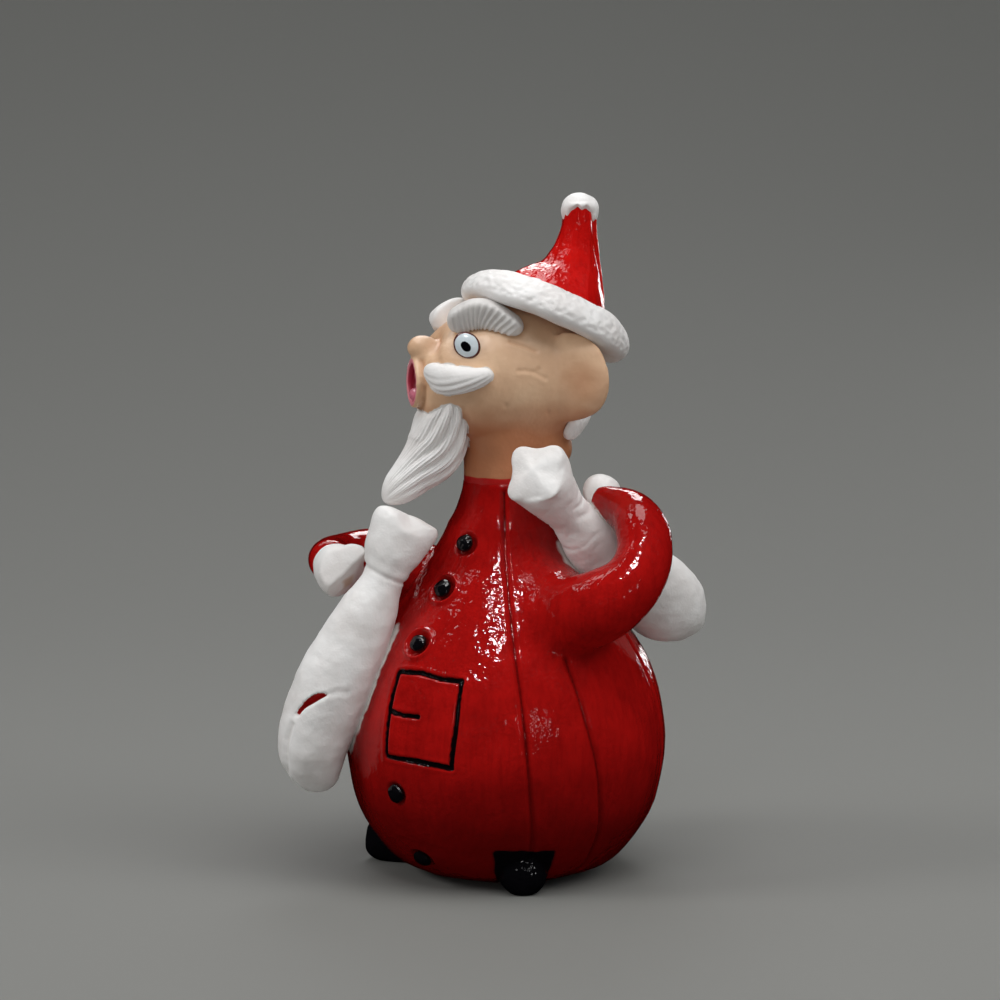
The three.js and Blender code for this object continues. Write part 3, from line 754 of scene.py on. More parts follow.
def lips(columns=72, rows=24):
    """A ring of clay round the mouth, narrower at the top."""
    A, B = np.meshgrid(turns(columns), turns(rows), indexing="ij")
    wide, tall, thick = MOUTH["wide"], MOUTH["tall"], MOUTH["lip"]
    points = np.stack([(wide + thick * np.cos(B)) * np.cos(A), thick * np.sin(B),
                       (tall + thick * np.cos(B)) * np.sin(A)], -1).reshape(-1, 3)
    points[:, 0] *= 1 - MOUTH["narrows"] * np.clip(points[:, 2] / tall, 0, 1)
    return points + (0, MOUTH["y"], MOUTH["z"]), ring_faces(columns, rows)


def hollowed(piece, cutter):
    """Cuts the cutter out of the piece and removes the cutter."""
    tool = piece.modifiers.new("hollow", "BOOLEAN")
    tool.operation, tool.solver, tool.object = "DIFFERENCE", "EXACT", cutter
    apply_modifiers(piece)
    bpy.data.objects.remove(cutter)


# %% Hollow the egg and melt the rest onto it
ROUND_ENDS = (0.3, 0.3)
head = clay("head_painted", head_lump(EGG, (1, 0, 0), 72, 64, (0.06, 0.12)))
inside = [MOUTH["wide"] - 0.6, MOUTH["tall"] - 0.6]
hole = [[0, MOUTH["y"] + y, MOUTH["z"], *inside] for y in (-MOUTH["depth"], 0, MOUTH["depth"])]
hollowed(head, clay("mouth_cutter", head_lump(hole, (1, 0, 0), 40, 24, (0.1, 0.3))))
extras = clay("head_extras", turned_head(*lips()), skin(turned(NECK, 90, 30)),
              head_lump(NECK_BACK, (1, 0, 0), 60, 40, ROUND_ENDS),
              head_lump(NOSE, (1, 0, 0), 40, 40, (0.2, 0.3)),
              head_lump(EAR, EAR_FLAT, 60, 60, ROUND_ENDS),
              head_lump(mirrored(EAR), mirrored([EAR_FLAT])[0], 60, 60, ROUND_ENDS))
shape = bmesh.new()
shape.from_mesh(head.data)
shape.from_mesh(extras.data)
shape.to_mesh(head.data)
shape.free()
bpy.data.objects.remove(extras)
melt(head, 0.42)
relax(head, 10, hold=0.85)
print("head:", len(head.data.vertices), "points")

# %% Smooth in front of the ears and over the nape
own = in_head(places(head))
ear_front = band(own[:, 1], 5, 5) * bump(np.maximum(9 - np.abs(own[:, 0]), 0), 3)
ear_front *= band(own[:, 2], 109, 18)
soften(head, ear_front, 50)
own = in_head(places(head))
nape_bend = band(own[:, 2], 97, 8) * np.clip((own[:, 1] + 9) / 9, 0, 1)
soften(head, nape_bend, 120)
print("points smoothed:", np.count_nonzero(ear_front > 0.01), np.count_nonzero(nape_bend > 0.01))

# %% Pinch the bridge of the nose and dish the ears
# PINCH pushes the skin back by so many millimetres, in an oval round the middle of the face.
PINCH = {"deep": 3.3, "z": 120.8, "wide": 12, "tall": 6.5}
DISH = {"deep": 0.7, "y": 12.4, "z": 110.5, "squash": 0.75, "wide": 6.8}
own = in_head(places(head))
pinch = band(own[:, 0], 0, PINCH["wide"]) * (own[:, 1] < -5)
pinch *= band(own[:, 2], PINCH["z"], PINCH["tall"])
dish = bump(np.hypot(own[:, 1] - DISH["y"], (own[:, 2] - DISH["z"]) * DISH["squash"]), DISH["wide"])
side = np.sign(own[:, 0])
outer = (in_head(outwards(head))[:, 0] * side > 0.3) * (np.abs(own[:, 0]) > 13)
own[:, 1] += PINCH["deep"] * pinch
own[:, 0] -= DISH["deep"] * side * dish * outer
place(head, own @ TURN.T)
print("points dished at the ears:", np.count_nonzero(dish * outer))

# %% [markdown]
# The skin colour is brushed on, and the lips, the mouth and the red rim of the neck are painted over
# it. The paint could be an image wrapped round the head. Here it is a number kept at every point, so
# it follows the shape exactly. A few creases and pits are left from the modelling.

# %% Marks on the head
push(head, worked(places(head), (0.22, 8, 30), (0.07, 3, 31)))
own = in_head(places(head))
# Creases and pits of the near cheek, as y and z.
CREASES = [[(-2.7, 119.4), (0.5, 118.3), (2.8, 117.2)], [(-1.6, 113.2), (1.5, 112.9), (4.4, 111.4)]]
CREASE_DEPTHS, CREASE_HALF = (0.26, 0.18), 0.75
PITS, PIT = [(-4.1, 105.5), (3, 113.4), (5.5, 103.8)], {"deep": 0.22, "half": 0.9}
CREASE_BURR = {"below": 0.9, "high": 0.1, "half": 0.9}
scored = np.zeros(len(own))
sideways = own * (0, 1, 1)
for line, cut in zip(CREASES, CREASE_DEPTHS):
    path = smooth_line([(0, *spot) for spot in line], np.linspace(0, 1, 40))
    burr = distance_to(path - (0, 0, CREASE_BURR["below"]), sideways)
    scored += CREASE_BURR["high"] * bump(burr, CREASE_BURR["half"])
    scored -= cut * bump(distance_to(path, sideways), CREASE_HALF)
for spot in PITS:
    scored -= PIT["deep"] * bump(np.linalg.norm(sideways - (0, *spot), axis=1), PIT["half"])
push(head, scored * (own[:, 0] > 5))
print("deepest mark:", round(-scored.min(), 2), "mm")

# %% Paint on the head
# Painted shade and red light from the coat: the flesh deepens to a reddish brown downwards and on the ears.
# The red rim starts where the neck meets the coat.
own = in_head(places(head))
ear_panel = bump(np.hypot(own[:, 1] - 12.4, own[:, 2] - 110), 13) * (np.abs(own[:, 0]) > 12)
shaded_downwards = (112 - own[:, 2] + 3 * uneven(own, 7, 36)) / 18
note(head, "warm_shade", np.clip(np.maximum(shaded_downwards, 0.5 * ear_panel), 0, 1))
note(head, "red", bump(np.maximum(own[:, 2] - 88.9 + 0.3 * uneven(own, 3, 37), 0), 0.5))
mouth_z = (own[:, 2] - MOUTH["z"]) / MOUTH["tall"]
mouth_x = own[:, 0] / MOUTH["wide"] / (1 - MOUTH["narrows"] * np.clip(mouth_z, 0, 1))
rim = np.hypot(mouth_x, mouth_z)
front = own[:, 1] < -16.5
note(head, "lips", front * bump(np.maximum(rim - 0.98, 0), 0.16))
note(head, "mouth", front * bump(np.maximum(rim - 0.78, 0), 0.16))
done(head, flesh_paint, "flesh", "head", "ear_left", "ear_right")

# %% [markdown]
# The eyes are flattened balls of clay, pressed on where the face turns to the side, with a glossy white,
# a black pupil and a fine dark line round them. The far one is pressed in a little deeper. A round
# line drawn in the material would need a picture or a mask, so line and pupil are numbers kept at the
# points too. The tongue is a small pink lump in the mouth.

# %% Eyes
EYE = {"x": 10.5, "y": -12, "z": 118.6, "wide": 2.75, "tall": 3.2, "bulge": 1.45, "lean": math.radians(22)}
FACING, FAR_EYE_SUNK = (-0.42, 0.12), 0.4
SWAP_XY = np.array([[0, 1, 0], [1, 0, 0], [0, 0, 1]])
# Where the dark line starts and how big the pupil is, as shares of the eye's size.
LINE_FROM, PUPIL = 0.92, 0.36
for name, side in (("left", 1), ("right", -1)):
    out = np.array([side, *FACING]) / np.linalg.norm([1, *FACING])
    sunk = FAR_EYE_SUNK * (side < 0)
    points, faces = skin(dome(64, 48, (EYE["wide"], EYE["tall"], EYE["bulge"] - sunk)))
    flat_spots = points[:, :2] / (EYE["wide"], EYE["tall"])
    placed = turned_to(out, points @ about_z(-EYE["lean"] * side).T @ SWAP_XY)
    placed += (side * (EYE["x"] - sunk), EYE["y"] + 4 * sunk, EYE["z"])
    eye = clay(f"eye_{name}_glossy", turned_head(placed, faces))
    off = np.hypot(flat_spots[:, 0], flat_spots[:, 1])
    thick = 0.08 + 0.07 * np.clip(np.abs(flat_spots[:, 1]), 0, 1)
    note(eye, "outline", bump(np.maximum(LINE_FROM - off, 0) + 0.03 * uneven(points, 1.2, 35), thick))
    pupil = np.hypot((flat_spots[:, 0] + 0.1) / 0.85, flat_spots[:, 1] - 0.05)
    note(eye, "black", bump(np.maximum(pupil - PUPIL, 0), 0.08))
    done(eye, eye_paint, "eye_white", f"eye_{name}")

# %% Tongue
TONGUE = [[0, -17.5, 108, 2, 1.3], [0, -20, 107.4, 2.3, 1.5], [0, -22, 107, 1.9, 1.4]]
tongue = clay("tongue_pink", head_lump(TONGUE, (1, 0, 0), 40, 30, ROUND_ENDS))
done(tongue, pink_paint, "pink", "tongue")

# %% [markdown]
# ## Brows, moustache, beard and hair
# Slabs of white clay, combed with a toothed tool before they were pressed on. Hair could be made of
# thousands of strands, but this is clay, so the teeth's grooves are cut into the lumps' own rings: a
# wave across or along the slab, deeper in its middle.

# %% The comb
def teeth(phase, sharp=1.0):
    """A comb's groove pattern from 0, on a ridge, to 1, in the bottom of a groove."""
    return np.clip(0.5 - 0.5 * np.cos(2 * np.pi * phase), 0, 1) ** sharp


def boxy(around, power=5):
    """Swells a round ring into a slab with flat sides."""
    angle = 2 * np.pi * around
    return (np.abs(np.cos(angle)) ** power + np.abs(np.sin(angle)) ** power) ** (-1 / power)


# %% Brows
BROW = [[6, -15, 122.8, 2.6, 2.2], [8.8, -8.4, 125.2, 3.5, 2.4], [12.2, 0.2, 121.8, 1.8, 2.2]]
FAR_BROW_LOWER = 0.8


def brow_relief(around, along, side):
    """Fourteen slanting grooves on the slab's outer face."""
    fade = np.sin(np.pi * np.clip((along - 0.04) / 0.92, 0, 1)) ** 0.4
    up = np.cos(2 * np.pi * around)
    face = np.clip((side * np.sin(2 * np.pi * around) - 0.2) / 0.3, 0, 1)
    face *= np.clip((0.9 - up) / 0.3, 0, 1)
    return boxy(around) * (0.94 - 0.11 * fade * face * teeth(14 * along - 0.8 * up, 0.7))


for name, side in (("left", 1), ("right", -1)):
    stations = BROW if side == 1 else np.subtract(mirrored(BROW), (0, 0, FAR_BROW_LOWER, 0, 0))
    brow = clay(f"brow_{name}_combed", head_lump(
        stations, (0.35 * side, 0, 1), 128, 190, (0.17, 0.12),
        lambda around, along: brow_relief(around, along, side)))
    # The near brow gets the greyer white, painted shade on its face that looks down.
    done(brow, shaded_white_paint if side == 1 else white_paint, "matt_white", f"brow_{name}")

# %% Moustache
MOUSTACHE = [[5.2, -19.8, 113.6, 1.6, 1.6], [9.4, -16.9, 111.3, 3.3, 2.1], [12.7, -11.8, 111.4, 2.6, 2.1],
             [14.5, -7.2, 112.7, 1.4, 1.6]]


def moustache_relief(around, along):
    """Grooves that run along the lower part of each half."""
    lower = np.clip(0.35 - np.cos(2 * np.pi * around), 0, 1)
    return 1 - 0.16 * lower * teeth(11 * around + 2.5 * along, 1.3) * np.sin(np.pi * along) ** 0.5


halves = []
for name, side in (("left", 1), ("right", -1)):
    stations = MOUSTACHE if side == 1 else mirrored(MOUSTACHE)
    half = clay(f"moustache_{name}_combed",
                head_lump(stations, (0, 0, 1), 120, 80, (0.12, 0.12), moustache_relief))
    halves.append(done(half, white_paint, "matt_white", f"moustache_{name}"))

# %% Beard and the hair at the nape
BEARD = [[0, -15.4, 108, 9.8, 1.4], [0, -14.8, 102.4, 10, 5.3], [0, -16.3, 95, 7.9, 6.5],
         [0, -21.6, 89.4, 5, 4.8], [0, -27.9, 83.8, 3.2, 3]]
NAPE = [[11, 10.6, 99.6, 2.6, 1.3], [7.5, 14.2, 100, 3.4, 1.5], [0, 16.6, 100.2, 4.2, 1.6],
        [-7.5, 14.2, 100, 3.4, 1.5], [-11, 10.6, 99.6, 2.6, 1.3]]


def beard_relief(around, along):
    """Eleven wide locks that turn a little on their way down, with fine lines over them."""
    fade = np.sin(np.pi * along) ** 0.5 * np.clip(along / 0.16, 0, 1)
    big = teeth(11 * around - 2.4 * along, 1.6)
    fine = teeth(47 * around - 5 * along)
    strong = np.clip(0.35 + 0.9 * np.cos(2 * np.pi * (around + 0.06)), 0.2, 1)
    return 1 - fade * (0.13 * big * strong + 0.04 * fine)


def nape_relief(around, along):
    return boxy(around, 3) * (0.95 - 0.12 * teeth(15 * along))


beard = clay("beard_combed", head_lump(BEARD, (1, 0, 0), 300, 110, (0.16, 0.15), beard_relief))
done(beard, white_paint, "matt_white", "beard")
nape = clay("hair_back_combed", head_lump(NAPE, (0, 0.6, 0.8), 72, 160, (0.1, 0.1), nape_relief))
done(nape, white_paint, "matt_white", "hair_back")

# %% [markdown]
# ## The hat
# A roll of white clay, dimpled with the tip of a tool like fleece, a red cone that was stroked and
# twisted while it was soft, and a dab of white on its tip. The dimples could be a bump in the
# material, but the roll's edge would stay smooth. So the tool's marks are pressed at random points.

# %% The brim, a flattened roll
HAT = {"y": 9.7, "z": 124.6, "lean": math.radians(25), "cock": math.radians(5)}
BRIM = {"ring": 15.2, "long": 5.2, "short": 3.4, "slope": math.radians(38)}
cx, sx = math.cos(-HAT["lean"]), math.sin(-HAT["lean"])
cy, sy = math.cos(-HAT["cock"]), math.sin(-HAT["cock"])
HAT_FRAME = (np.array([[1, 0, 0], [0, cx, -sx], [0, sx, cx]])
             @ np.array([[cy, 0, sy], [0, 1, 0], [-sy, 0, cy]]))
columns, rows = 260, 72
A, B = np.meshgrid(turns(columns), turns(rows), indexing="ij")
u, v = BRIM["long"] * np.cos(B), BRIM["short"] * np.sin(B)
c, s = math.cos(BRIM["slope"]), math.sin(BRIM["slope"])
reach = BRIM["ring"] + u * c + v * s
roll = np.stack([reach * np.cos(A), reach * np.sin(A), v * c - u * s], -1).reshape(-1, 3)
brim = clay("hat_brim_stippled", turned_head(
    roll @ HAT_FRAME.T + (0, HAT["y"], HAT["z"]), ring_faces(columns, rows)))
spots = places(brim)
push(brim, worked(spots, (0.5, 9, 40), (0.2, 4, 41)))

# %% Dimples on the side of the brim that shows
# Each kind of dimple has a depth and a half width in millimetres, and a count.
DIMPLES = [(0.3, 1.1, 260), (0.34, 0.7, 900)]
pick = np.random.default_rng(7)
upper = np.flatnonzero(np.sin(B.ravel() - 0.5) > -0.2)
for deep, half, count in DIMPLES:
    dimples = spots[pick.choice(upper, count, replace=False)]
    push(brim, -deep * bump(distance_to(dimples, places(brim)), half))
done(brim, white_paint, "matt_white", "hat_brim")

# %% The twisted cone
# The cone's front and back at each level, as y and z.
CONE = [[-2.5, 131, 22.9, 119.5], [2, 133.7, 23, 126], [5.5, 135.3, 22.4, 130.5], [8.3, 136.3, 21.9, 134],
        [10.4, 138.5, 21.4, 137.4], [11.8, 140.7, 21, 140.7], [12.9, 144, 20.9, 144],
        [13.5, 147.3, 20.7, 147.3], [14.3, 148.8, 20, 148.8]]


def leaning_rings(levels, columns, rows, relief):
    """Rings over each other, each from its front and its back point, given as y and z."""
    along = np.clip((np.arange(rows + 1) - 1) / (rows - 2), 0, 1)
    y0, z0, y1, z1 = smooth_line(levels, along, uniform=True).T
    around = np.arange(columns) / columns
    A, L = np.meshgrid(around, along)
    reach = relief(A, L)
    reach[[0, -1]] = 0
    over, back = reach * np.cos(2 * np.pi * A), reach * np.sin(2 * np.pi * A)
    half_y, half_z = ((y1 - y0) / 2)[:, None], ((z1 - z0) / 2)[:, None]
    return np.stack([half_y * over, (y0 + y1)[:, None] / 2 + half_y * back,
                     (z0 + z1)[:, None] / 2 + half_z * back], -1)


SIDES = 7


def folds(around, along):
    """Seven flats that were stroked up the cone, with soft grooves between some of them."""
    share = (around * SIDES - 0.27 - 0.25 * along) % 1
    flats = math.cos(math.pi / SIDES) / np.cos(2 * np.pi / SIDES * (share - 0.5))
    groove = np.abs(np.sin(np.pi * (3 * around + 0.35 * along + 0.4)))
    return 1.03 * flats ** (0.45 + 0.45 * along) - 0.07 * (1 - groove) ** 2 * np.clip(1.6 - along, 0, 1)


STROKED_UP = (1, 1, 0.45)
cone = clay("hat_cone_twisted", turned_head(*skin(leaning_rings(CONE, 200, 170, folds))))
spots = places(cone)
push(cone, 0.2 * uneven(spots, 5, 50) + 0.12 * uneven(spots * STROKED_UP, 2.0, 51))
done(cone, bright_glaze, "red_glaze", "hat_cone")

# %% The white dab on its tip
DAB = {"wide": 4.2, "tall": 3.6, "place": (0, 17.2, 147.5)}
points, faces = skin(dome(120, 80, (DAB["wide"], DAB["wide"], DAB["tall"])))
edge = np.arctan2(points[:, 1], points[:, 0])
jag = 0.25 * np.sin(7 * edge) + 0.2 * np.sin(13 * edge + 1) + 1.5 * np.cos(2 * (edge + 0.3))
low = np.clip((DAB["tall"] / 2 - points[:, 2]) / DAB["tall"], 0, 1)
points[:, 2] += low * (0.9 + jag)
tip = clay("hat_pompom_dabbed", turned_head(points + DAB["place"], faces))
push(tip, 0.22 * uneven(places(tip), 2.4, 52))
done(tip, white_paint, "matt_white", "hat_pompom")

# %% [markdown]
# ## Mittens and bundles
# Each hand holds a long white bundle by the neck. The clay flares into soft corners at the mouth, is
# squeezed at the waist, and swells below. A bundle could be a bag filled by a cloth simulation, but
# this one is solid clay, so it is a rolled lump whose rings bulge at the corners. The front hand is
# pressed flat on two sides, and bare clay shows through on one of them.

# %% Where the camera looks from
# LOOK points from the figurine towards the camera, and ASIDE to the right of the picture.
VIEW = math.radians(48)
LOOK = np.array([math.sin(VIEW), -math.cos(VIEW), 0])
ASIDE = np.array([math.cos(VIEW), math.sin(VIEW), 0])
UP = np.array([0, 0, 1.0])
print("camera's azimuth:", round(math.degrees(VIEW)), "degrees")

# %% Mittens
MITTEN_LEFT = [[24.2, 11, 84.8, 3, 3], [20, 10.5, 86, 3.9, 3.7], [15.6, 9.6, 87.2, 3.2, 3.2]]
MITTEN_RIGHT = [[-31, -25.4, 69, 3.4, 3.4], [-22.4, -29.6, 67.9, 5.8, 5.3],
                [-15.2, -30.1, 66.2, 4.8, 4.6]]
THUMB = [[-23, -28.5, 69.5, 3.2, 3], [-18, -29.4, 70.8, 3.3, 3.1], [-13.4, -29, 71.2, 2.8, 2.8]]
PALM = np.array([-22.4, -29.6, 67.9])
# Each flat faces a direction and lies so many millimetres from the palm's middle.
FLATS = [(0.62 * ASIDE - 0.62 * UP + 0.5 * LOOK, 3.1), (-0.25 * ASIDE + 0.3 * UP + 0.9 * LOOK, 4.4)]
FLATTENED = 0.85


def pressed(spots, middle, direction, far):
    """Flattens what lies further than far from the middle in the direction."""
    direction = direction / np.linalg.norm(direction)
    over = (spots - middle) @ direction - far
    return spots - FLATTENED * np.maximum(over, 0)[:, None] * direction


for name, lumps, seed in (("left", [MITTEN_LEFT], 60), ("right", [MITTEN_RIGHT, THUMB], 61)):
    mitten = clay(f"mitten_{name}_white",
                  *[rolled_skin(stations, (0, 0, 1), 64, 60, (0.3, 0.4)) for stations in lumps])
    if name == "right":
        melt(mitten, 0.35)
        spots = places(mitten)
        for direction, far in FLATS:
            spots = pressed(spots, PALM, direction, far)
        place(mitten, spots)
        relax(mitten, 6)
        worn = np.linalg.norm(spots - (PALM + 2.6 * ASIDE - 2.6 * UP + 2.2 * LOOK), axis=1)
        note(mitten, "bare", bump(worn + 0.8 * uneven(spots, 2, 64), 3.6))
    push(mitten, worked(places(mitten), (0.35, 6, seed), (0.1, 2, seed)))
    done(mitten, white_paint, "matt_white", f"mitten_{name}")

# %% The bundles' mouths and bodies
SACK_LEFT = [[18.9, -9.4, 92.3, 5.8, 5.8], [18.1, -7.1, 91, 6.7, 6.7], [17.9, -3.6, 87.6, 6.4, 6.4],
             [18.3, 1.9, 81.7, 4.9, 4.8], [19.8, 7.1, 76.1, 6.6, 5.6], [20.9, 13, 70.8, 8, 6.6],
             [21.5, 20.9, 65.1, 9.2, 7.8], [21.2, 28.6, 60, 9.2, 8.3], [22.3, 38.2, 53.4, 7.4, 7.4]]
SACK_RIGHT = [[-6.2, -23.4, 81.4, 6, 5.6], [-6.8, -24.2, 78.8, 7.2, 6.2], [-7.7, -26.5, 73.2, 6.4, 5.6],
              [-8.6, -28.3, 67.8, 4.5, 4.6], [-10.5, -31.2, 60.1, 6.4, 6.3], [-12.9, -33.7, 52.8, 7.9, 7.5],
              [-15.2, -36.3, 45, 8.6, 8], [-17.7, -38.5, 37.1, 8.4, 7.8], [-19.4, -39.8, 30, 7.8, 7.2],
              [-20.2, -40, 20.2, 6, 5.8]]


def bundle(name, stations, flat, lobes, dish):
    """lobes are (degrees round the mouth, outwards, along the axis in mm, half width in degrees), and
    dish is how far the rest of the mouth rises along the axis."""
    def swell(around, part):
        """All the lobes together, where part 1 is outwards and part 2 along the axis."""
        return sum(lobe[part] * bump(np.abs((around * 360 - lobe[0] + 180) % 360 - 180), lobe[3] * 2)
                   for lobe in lobes)

    def corners(around, along):
        return 1 + np.clip(1 - along / 0.25, 0, 1) * (swell(around, 1) - 0.12)

    columns, rows = 128, 150
    rings = lump(stations, flat, columns, rows, (0.04, 0.12), corners)
    along = eased(rows)
    rim = np.sqrt(np.clip(1 - (1 - np.clip(along / 0.04, 0, 1)) ** 2, 0, 1))
    fade = np.clip(1 - along / 0.2, 0, 1) ** 1.5
    rise = dish + swell(np.arange(columns) / columns, 2)
    axis = np.subtract(stations[0][:3], stations[2][:3])
    axis /= np.linalg.norm(axis)
    return clay(name, skin(rings + ((rim * fade)[:, None] * rise)[..., None] * axis))


SQUARE_MOUTH = [(degrees, 0.42, 0.4, 20) for degrees in (0, 90, 180, 270)]
LOBED_MOUTH = [(5, 0.3, 0.3, 20), (155, 0.16, 1.2, 36), (235, 0.14, -0.2, 26), (300, -0.05, -3.2, 28),
               (75, -0.06, -1.8, 26)]
left_bundle = bundle("sack_left_white", SACK_LEFT, (0.49, 0.54, 0.68), SQUARE_MOUTH, -1.2)
right_bundle = bundle("sack_right_white", SACK_RIGHT, (0.67, 0.74, 0), LOBED_MOUTH, -0.2)
print("bundles:", len(left_bundle.data.vertices), "points each")

# %% The slit in the right bundle, and the lines of its folds
SLIT = [[-10.6, -41.6, 43.4, 1.6, 0.3], [-12.8, -43.4, 42.5, 2.2, 0.85], [-15.7, -45.1, 40.1, 2.3, 0.65],
        [-18.6, -45.4, 36.8, 2, 0.2]]
FOLD = [[-19.3, -45.4, 36.2], [-22, -44.6, 32], [-23.3, -43.8, 26], [-23.6, -43.6, 21]]
SOFT_FOLD = [[-10.6, -41.6, 43.4], [-9.4, -40.6, 43.8], [-8, -39.4, 43.6]]
hollowed(right_bundle, clay("slit_cutter", rolled_skin(SLIT, (0.74, -0.67, 0), 32, 60)))


def across_view(line, spots):
    """Distance of each spot from a line, seen along the direction that the line is looked at."""
    shares = np.linspace(0, 1, 120)
    flat = lambda where: where - np.outer(where @ LOOK, LOOK)
    return distance_to(flat(smooth_line(line, shares)), flat(spots))


print("the right bundle with its slit:", len(right_bundle.data.vertices), "points")

# %% Fold and pinch the right bundle, and wrinkle the left one
WAIST = np.array([-8.6, -28.3, 69.2])
BOTTOM_CORNER, CORNER_HALF, CORNER_OUT = np.array([-16.5, -36.0, 22.0]), 7.5, 1.8
LEFT_WAIST, LEFT_AXIS = (18.3, 1.9, 81.7), np.array([0.15, 0.75, -0.65])
WRINKLE_GAP = 3.1


def fold_right(piece):
    spots = places(piece)
    facing = np.clip(outwards(piece) @ LOOK * 3, 0, 1)
    over = (spots - WAIST) @ (0.44 * ASIDE + 0.9 * UP)
    pinched = -0.3 * band(over, -0.4, 0.8) + 0.12 * band(over, 0.9, 1.4)
    folded = 0.55 * bump(across_view(FOLD, spots), 0.9)
    folded += 0.3 * bump(across_view(SOFT_FOLD, spots), 1.4)
    push(piece, pinched - facing * folded)
    spots = places(piece)
    corner = CORNER_OUT * bump(np.linalg.norm(spots - BOTTOM_CORNER, axis=1), CORNER_HALF)
    place(piece, spots + corner[:, None] * (0.5 * ASIDE - 0.86 * UP))
    red_line = smooth_line(SLIT, np.linspace(0, 1, 60))[:, :3] - 1.2 * LOOK
    note(piece, "red", bump(np.maximum(distance_to(red_line, places(piece)) - 1.25, 0), 0.4))


def wrinkle_left(piece):
    spots = places(piece)
    run = (spots - LEFT_WAIST) @ LEFT_AXIS
    wrinkled = teeth(run / WRINKLE_GAP + 1.1 * uneven(spots, 7, 65), 3) * band(run, 0, 11)
    push(piece, -0.35 * wrinkled * np.clip(0.4 + 1.5 * uneven(spots, 4, 68), 0, 1))


for piece, seed, node, shaping in ((left_bundle, 62, "sack_left", wrinkle_left),
                                   (right_bundle, 63, "sack_right", fold_right)):
    melt(piece, 0.42)
    relax(piece, 2, hold=0.8)
    push(piece, worked(places(piece), (0.4, 9, seed), (0.2, 3.5, seed), (0.06, 1.4, seed)))
    shaping(piece)
    done(piece, white_paint, "matt_white", node)

# %% [markdown]
# The white was brushed on last, and it ran a little over the edges onto the coat and the face. Such a
# border could be painted by hand. Here every point of the red or flesh skin that lies close to a white
# piece turns white, and a random unevenness makes the border wander.

# %% White paint that ran over the edges
def run_over(spots, pieces, layers):
    """1 close to the white pieces and 0 away from them. Each piece has its own spread."""
    white = np.zeros(len(spots))
    wander = worked(spots, *layers)
    for piece, spread in pieces:
        white = np.maximum(white, bump(distance_to(places(piece), spots, 3.0) + wander, spread))
    print("points painted white:", np.count_nonzero(white > 0.5))
    return white


note(coat, "white", run_over(places(coat), [(left_bundle, 1.7), (right_bundle, 1.7)],
                             [(0.5, 1.6, 66), (0.4, 5, 67)]))
note(head, "white", run_over(places(head), [(beard, 0.8), (halves[0], 0.6), (halves[1], 0.6)],
                             [(0.3, 1.6, 33)]))

# %% [markdown]
# ## A place to stand, soft light and the camera
# A pale sheet of paper curves up behind the figurine. A photographer would light it from soft boxes.
# One set would do for matt clay, but a glaze is a mirror, and every soft box shows in it. So there are
# two sets of lights. The matt set is large and lights the colours, and isn't mirrored. The glaze set
# is only mirrored, as the windows and skylights of the room. The floor and the sky aren't mirrored
# either, because their grey would wash out the red at the coat's edges.

# %% Floor, in metres
FLAT, BEND, WALL, HALF = 0.3, 1.6, 6.0, 25.0
turn = np.radians(np.linspace(0, 90, 40))
run = np.concatenate([[-HALF, 0.0], FLAT + BEND * np.sin(turn), [FLAT + BEND]])
rise = np.concatenate([[0, 0], BEND * (1 - np.cos(turn)), [WALL]])
sheet = [np.outer(run, -LOOK) + ASIDE * side + np.outer(rise, UP) for side in (-HALF, HALF)]
count = len(run)
mesh = bpy.data.meshes.new("floor")
mesh.from_pydata(np.vstack(sheet).tolist(), [],
                 [(k, count + k, count + k + 1, k + 1) for k in range(count - 1)])
mesh.polygons.foreach_set("use_smooth", [True] * (count - 1))
floor = bpy.data.objects.new("floor", mesh)
bpy.context.scene.collection.objects.link(floor)
pale = bpy.data.materials.new("pale paper")
pale.use_nodes = True
paper = pale.node_tree.nodes["Principled BSDF"]
paper.inputs["Base Color"].default_value = srgb(128, 128, 124)
paper.inputs["Roughness"].default_value = 0.9
mesh.materials.append(pale)
floor.visible_glossy = False
print("the sheet curves up", FLAT, "m behind the figurine")

# %% Lights
def soft_light(name, seen_by, azimuth, elevation, distance, wide, tall, power):
    """A soft box that looks at the middle of the figurine. Azimuth 0 is in front of his coat. seen_by
    is matt for a light that isn't mirrored, and glaze for one that is only mirrored."""
    middle = Vector((0, 0, 0.07))
    a, e = math.radians(azimuth), math.radians(elevation)
    spot = middle + distance * Vector((math.sin(a) * math.cos(e), -math.cos(a) * math.cos(e), math.sin(e)))
    box = bpy.data.lights.new(name, "AREA")
    box.shape, box.size, box.size_y, box.energy = "RECTANGLE", wide, tall, power
    light = bpy.data.objects.new(name, box)
    light.location = spot
    light.rotation_euler = (middle - spot).to_track_quat("-Z", "Y").to_euler()
    light.visible_glossy = seen_by != "matt"
    light.visible_diffuse = seen_by != "glaze"
    bpy.context.scene.collection.objects.link(light)


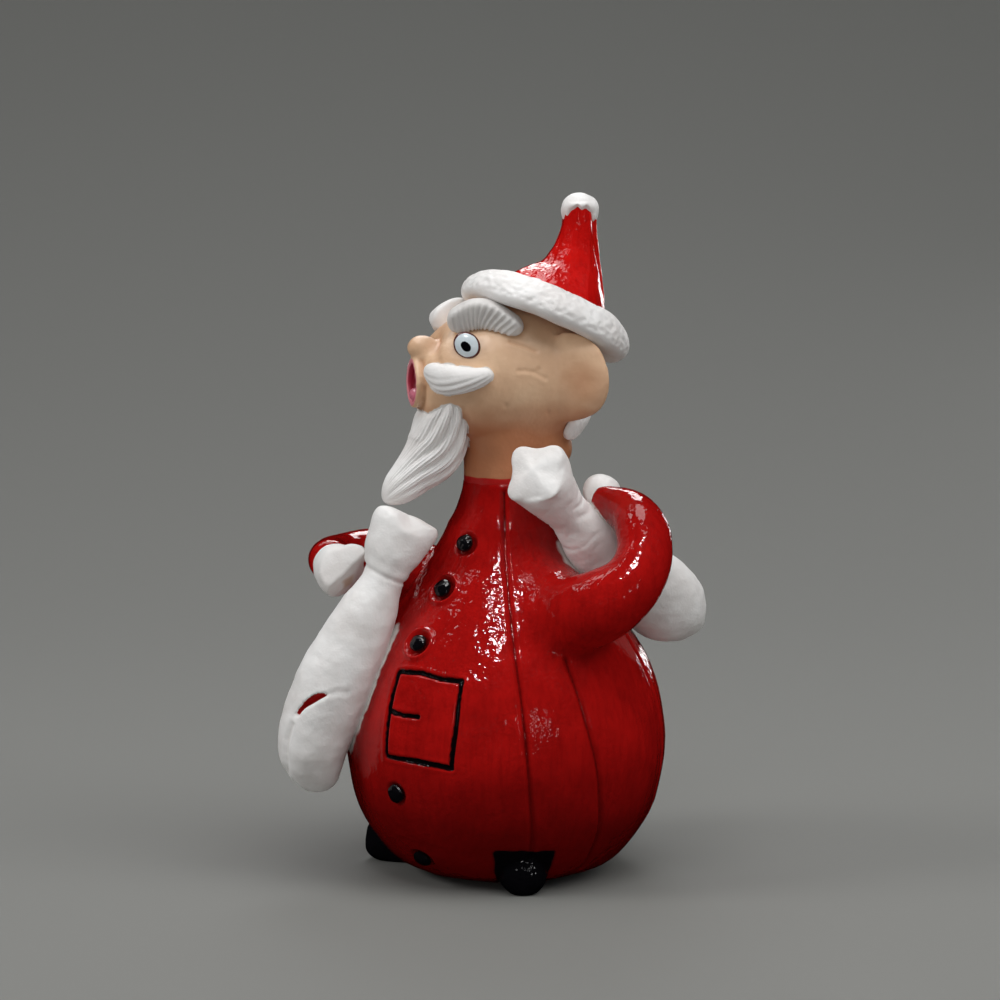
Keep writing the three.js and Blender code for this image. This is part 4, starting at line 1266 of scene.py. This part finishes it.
# Name, set, azimuth and elevation in degrees, distance, width and height in metres, and watts.
LIGHTS = [
    ("window", "glaze", 33, 56, 0.8, 0.11, 0.075, 2.4),
    ("low_window", "glaze", 70, 10, 1.0, 0.06, 0.2, 0.36),
    ("side_window", "glaze", -38, 52, 1.0, 0.13, 0.13, 0.4),
    ("skylight", "glaze", 30, 86, 1.0, 0.45, 0.45, 4.5),
    ("left_skylight", "glaze", -80, 60, 1.0, 0.45, 0.45, 3.8),
    ("far_skylight", "glaze", -132, 48, 1.0, 0.45, 0.45, 7.0),
    ("back_window", "glaze", 200, 5, 0.9, 0.12, 0.2, 0.48),
    ("ceiling", "matt", 70, 70, 1.1, 1.0, 1.0, 7.0),
    ("left_fill", "matt", -28, 30, 1.6, 0.53, 0.47, 7.6),
    ("right_fill", "matt", 115, 40, 1.2, 0.6, 0.6, 3.2),
    ("low_fill", "matt", 36, 7, 2.2, 1.3, 0.45, 4.6),
]
for light in LIGHTS:
    soft_light(*light)
print("lights:", len(LIGHTS))

# %% Sky
world = bpy.data.worlds.new("room")
bpy.context.scene.world = world
world.use_nodes = True
sky = world.node_tree.nodes["Background"]
sky.inputs["Color"].default_value = (0.94, 0.97, 1.0, 1)
sky.inputs["Strength"].default_value = 0.24
world.cycles_visibility.glossy = False
bpy.context.scene.view_settings.view_transform = "Standard"

# %% [markdown]
# The camera looks from the photograph's angle, to the left of his front and a little from above. It
# could stand close with a wide lens, but then the near sleeve would look too big. So it stands about
# two thirds of a metre away, with a long lens.

# %% Camera
SENSOR, FOCAL_LENGTH = 36, 108
lens = bpy.data.cameras.new("camera")
lens.sensor_width, lens.lens = SENSOR, FOCAL_LENGTH
camera = bpy.data.objects.new("camera", lens)
camera.location = (0.49115, -0.44391, 0.16452)
aim = Vector((-0.000831, -0.000923, 0.083232))
camera.rotation_euler = (aim - camera.location).to_track_quat("-Z", "Y").to_euler()
bpy.context.scene.collection.objects.link(camera)
bpy.context.scene.camera = camera
print("camera to figurine:", round((camera.location - aim).length, 3), "m")
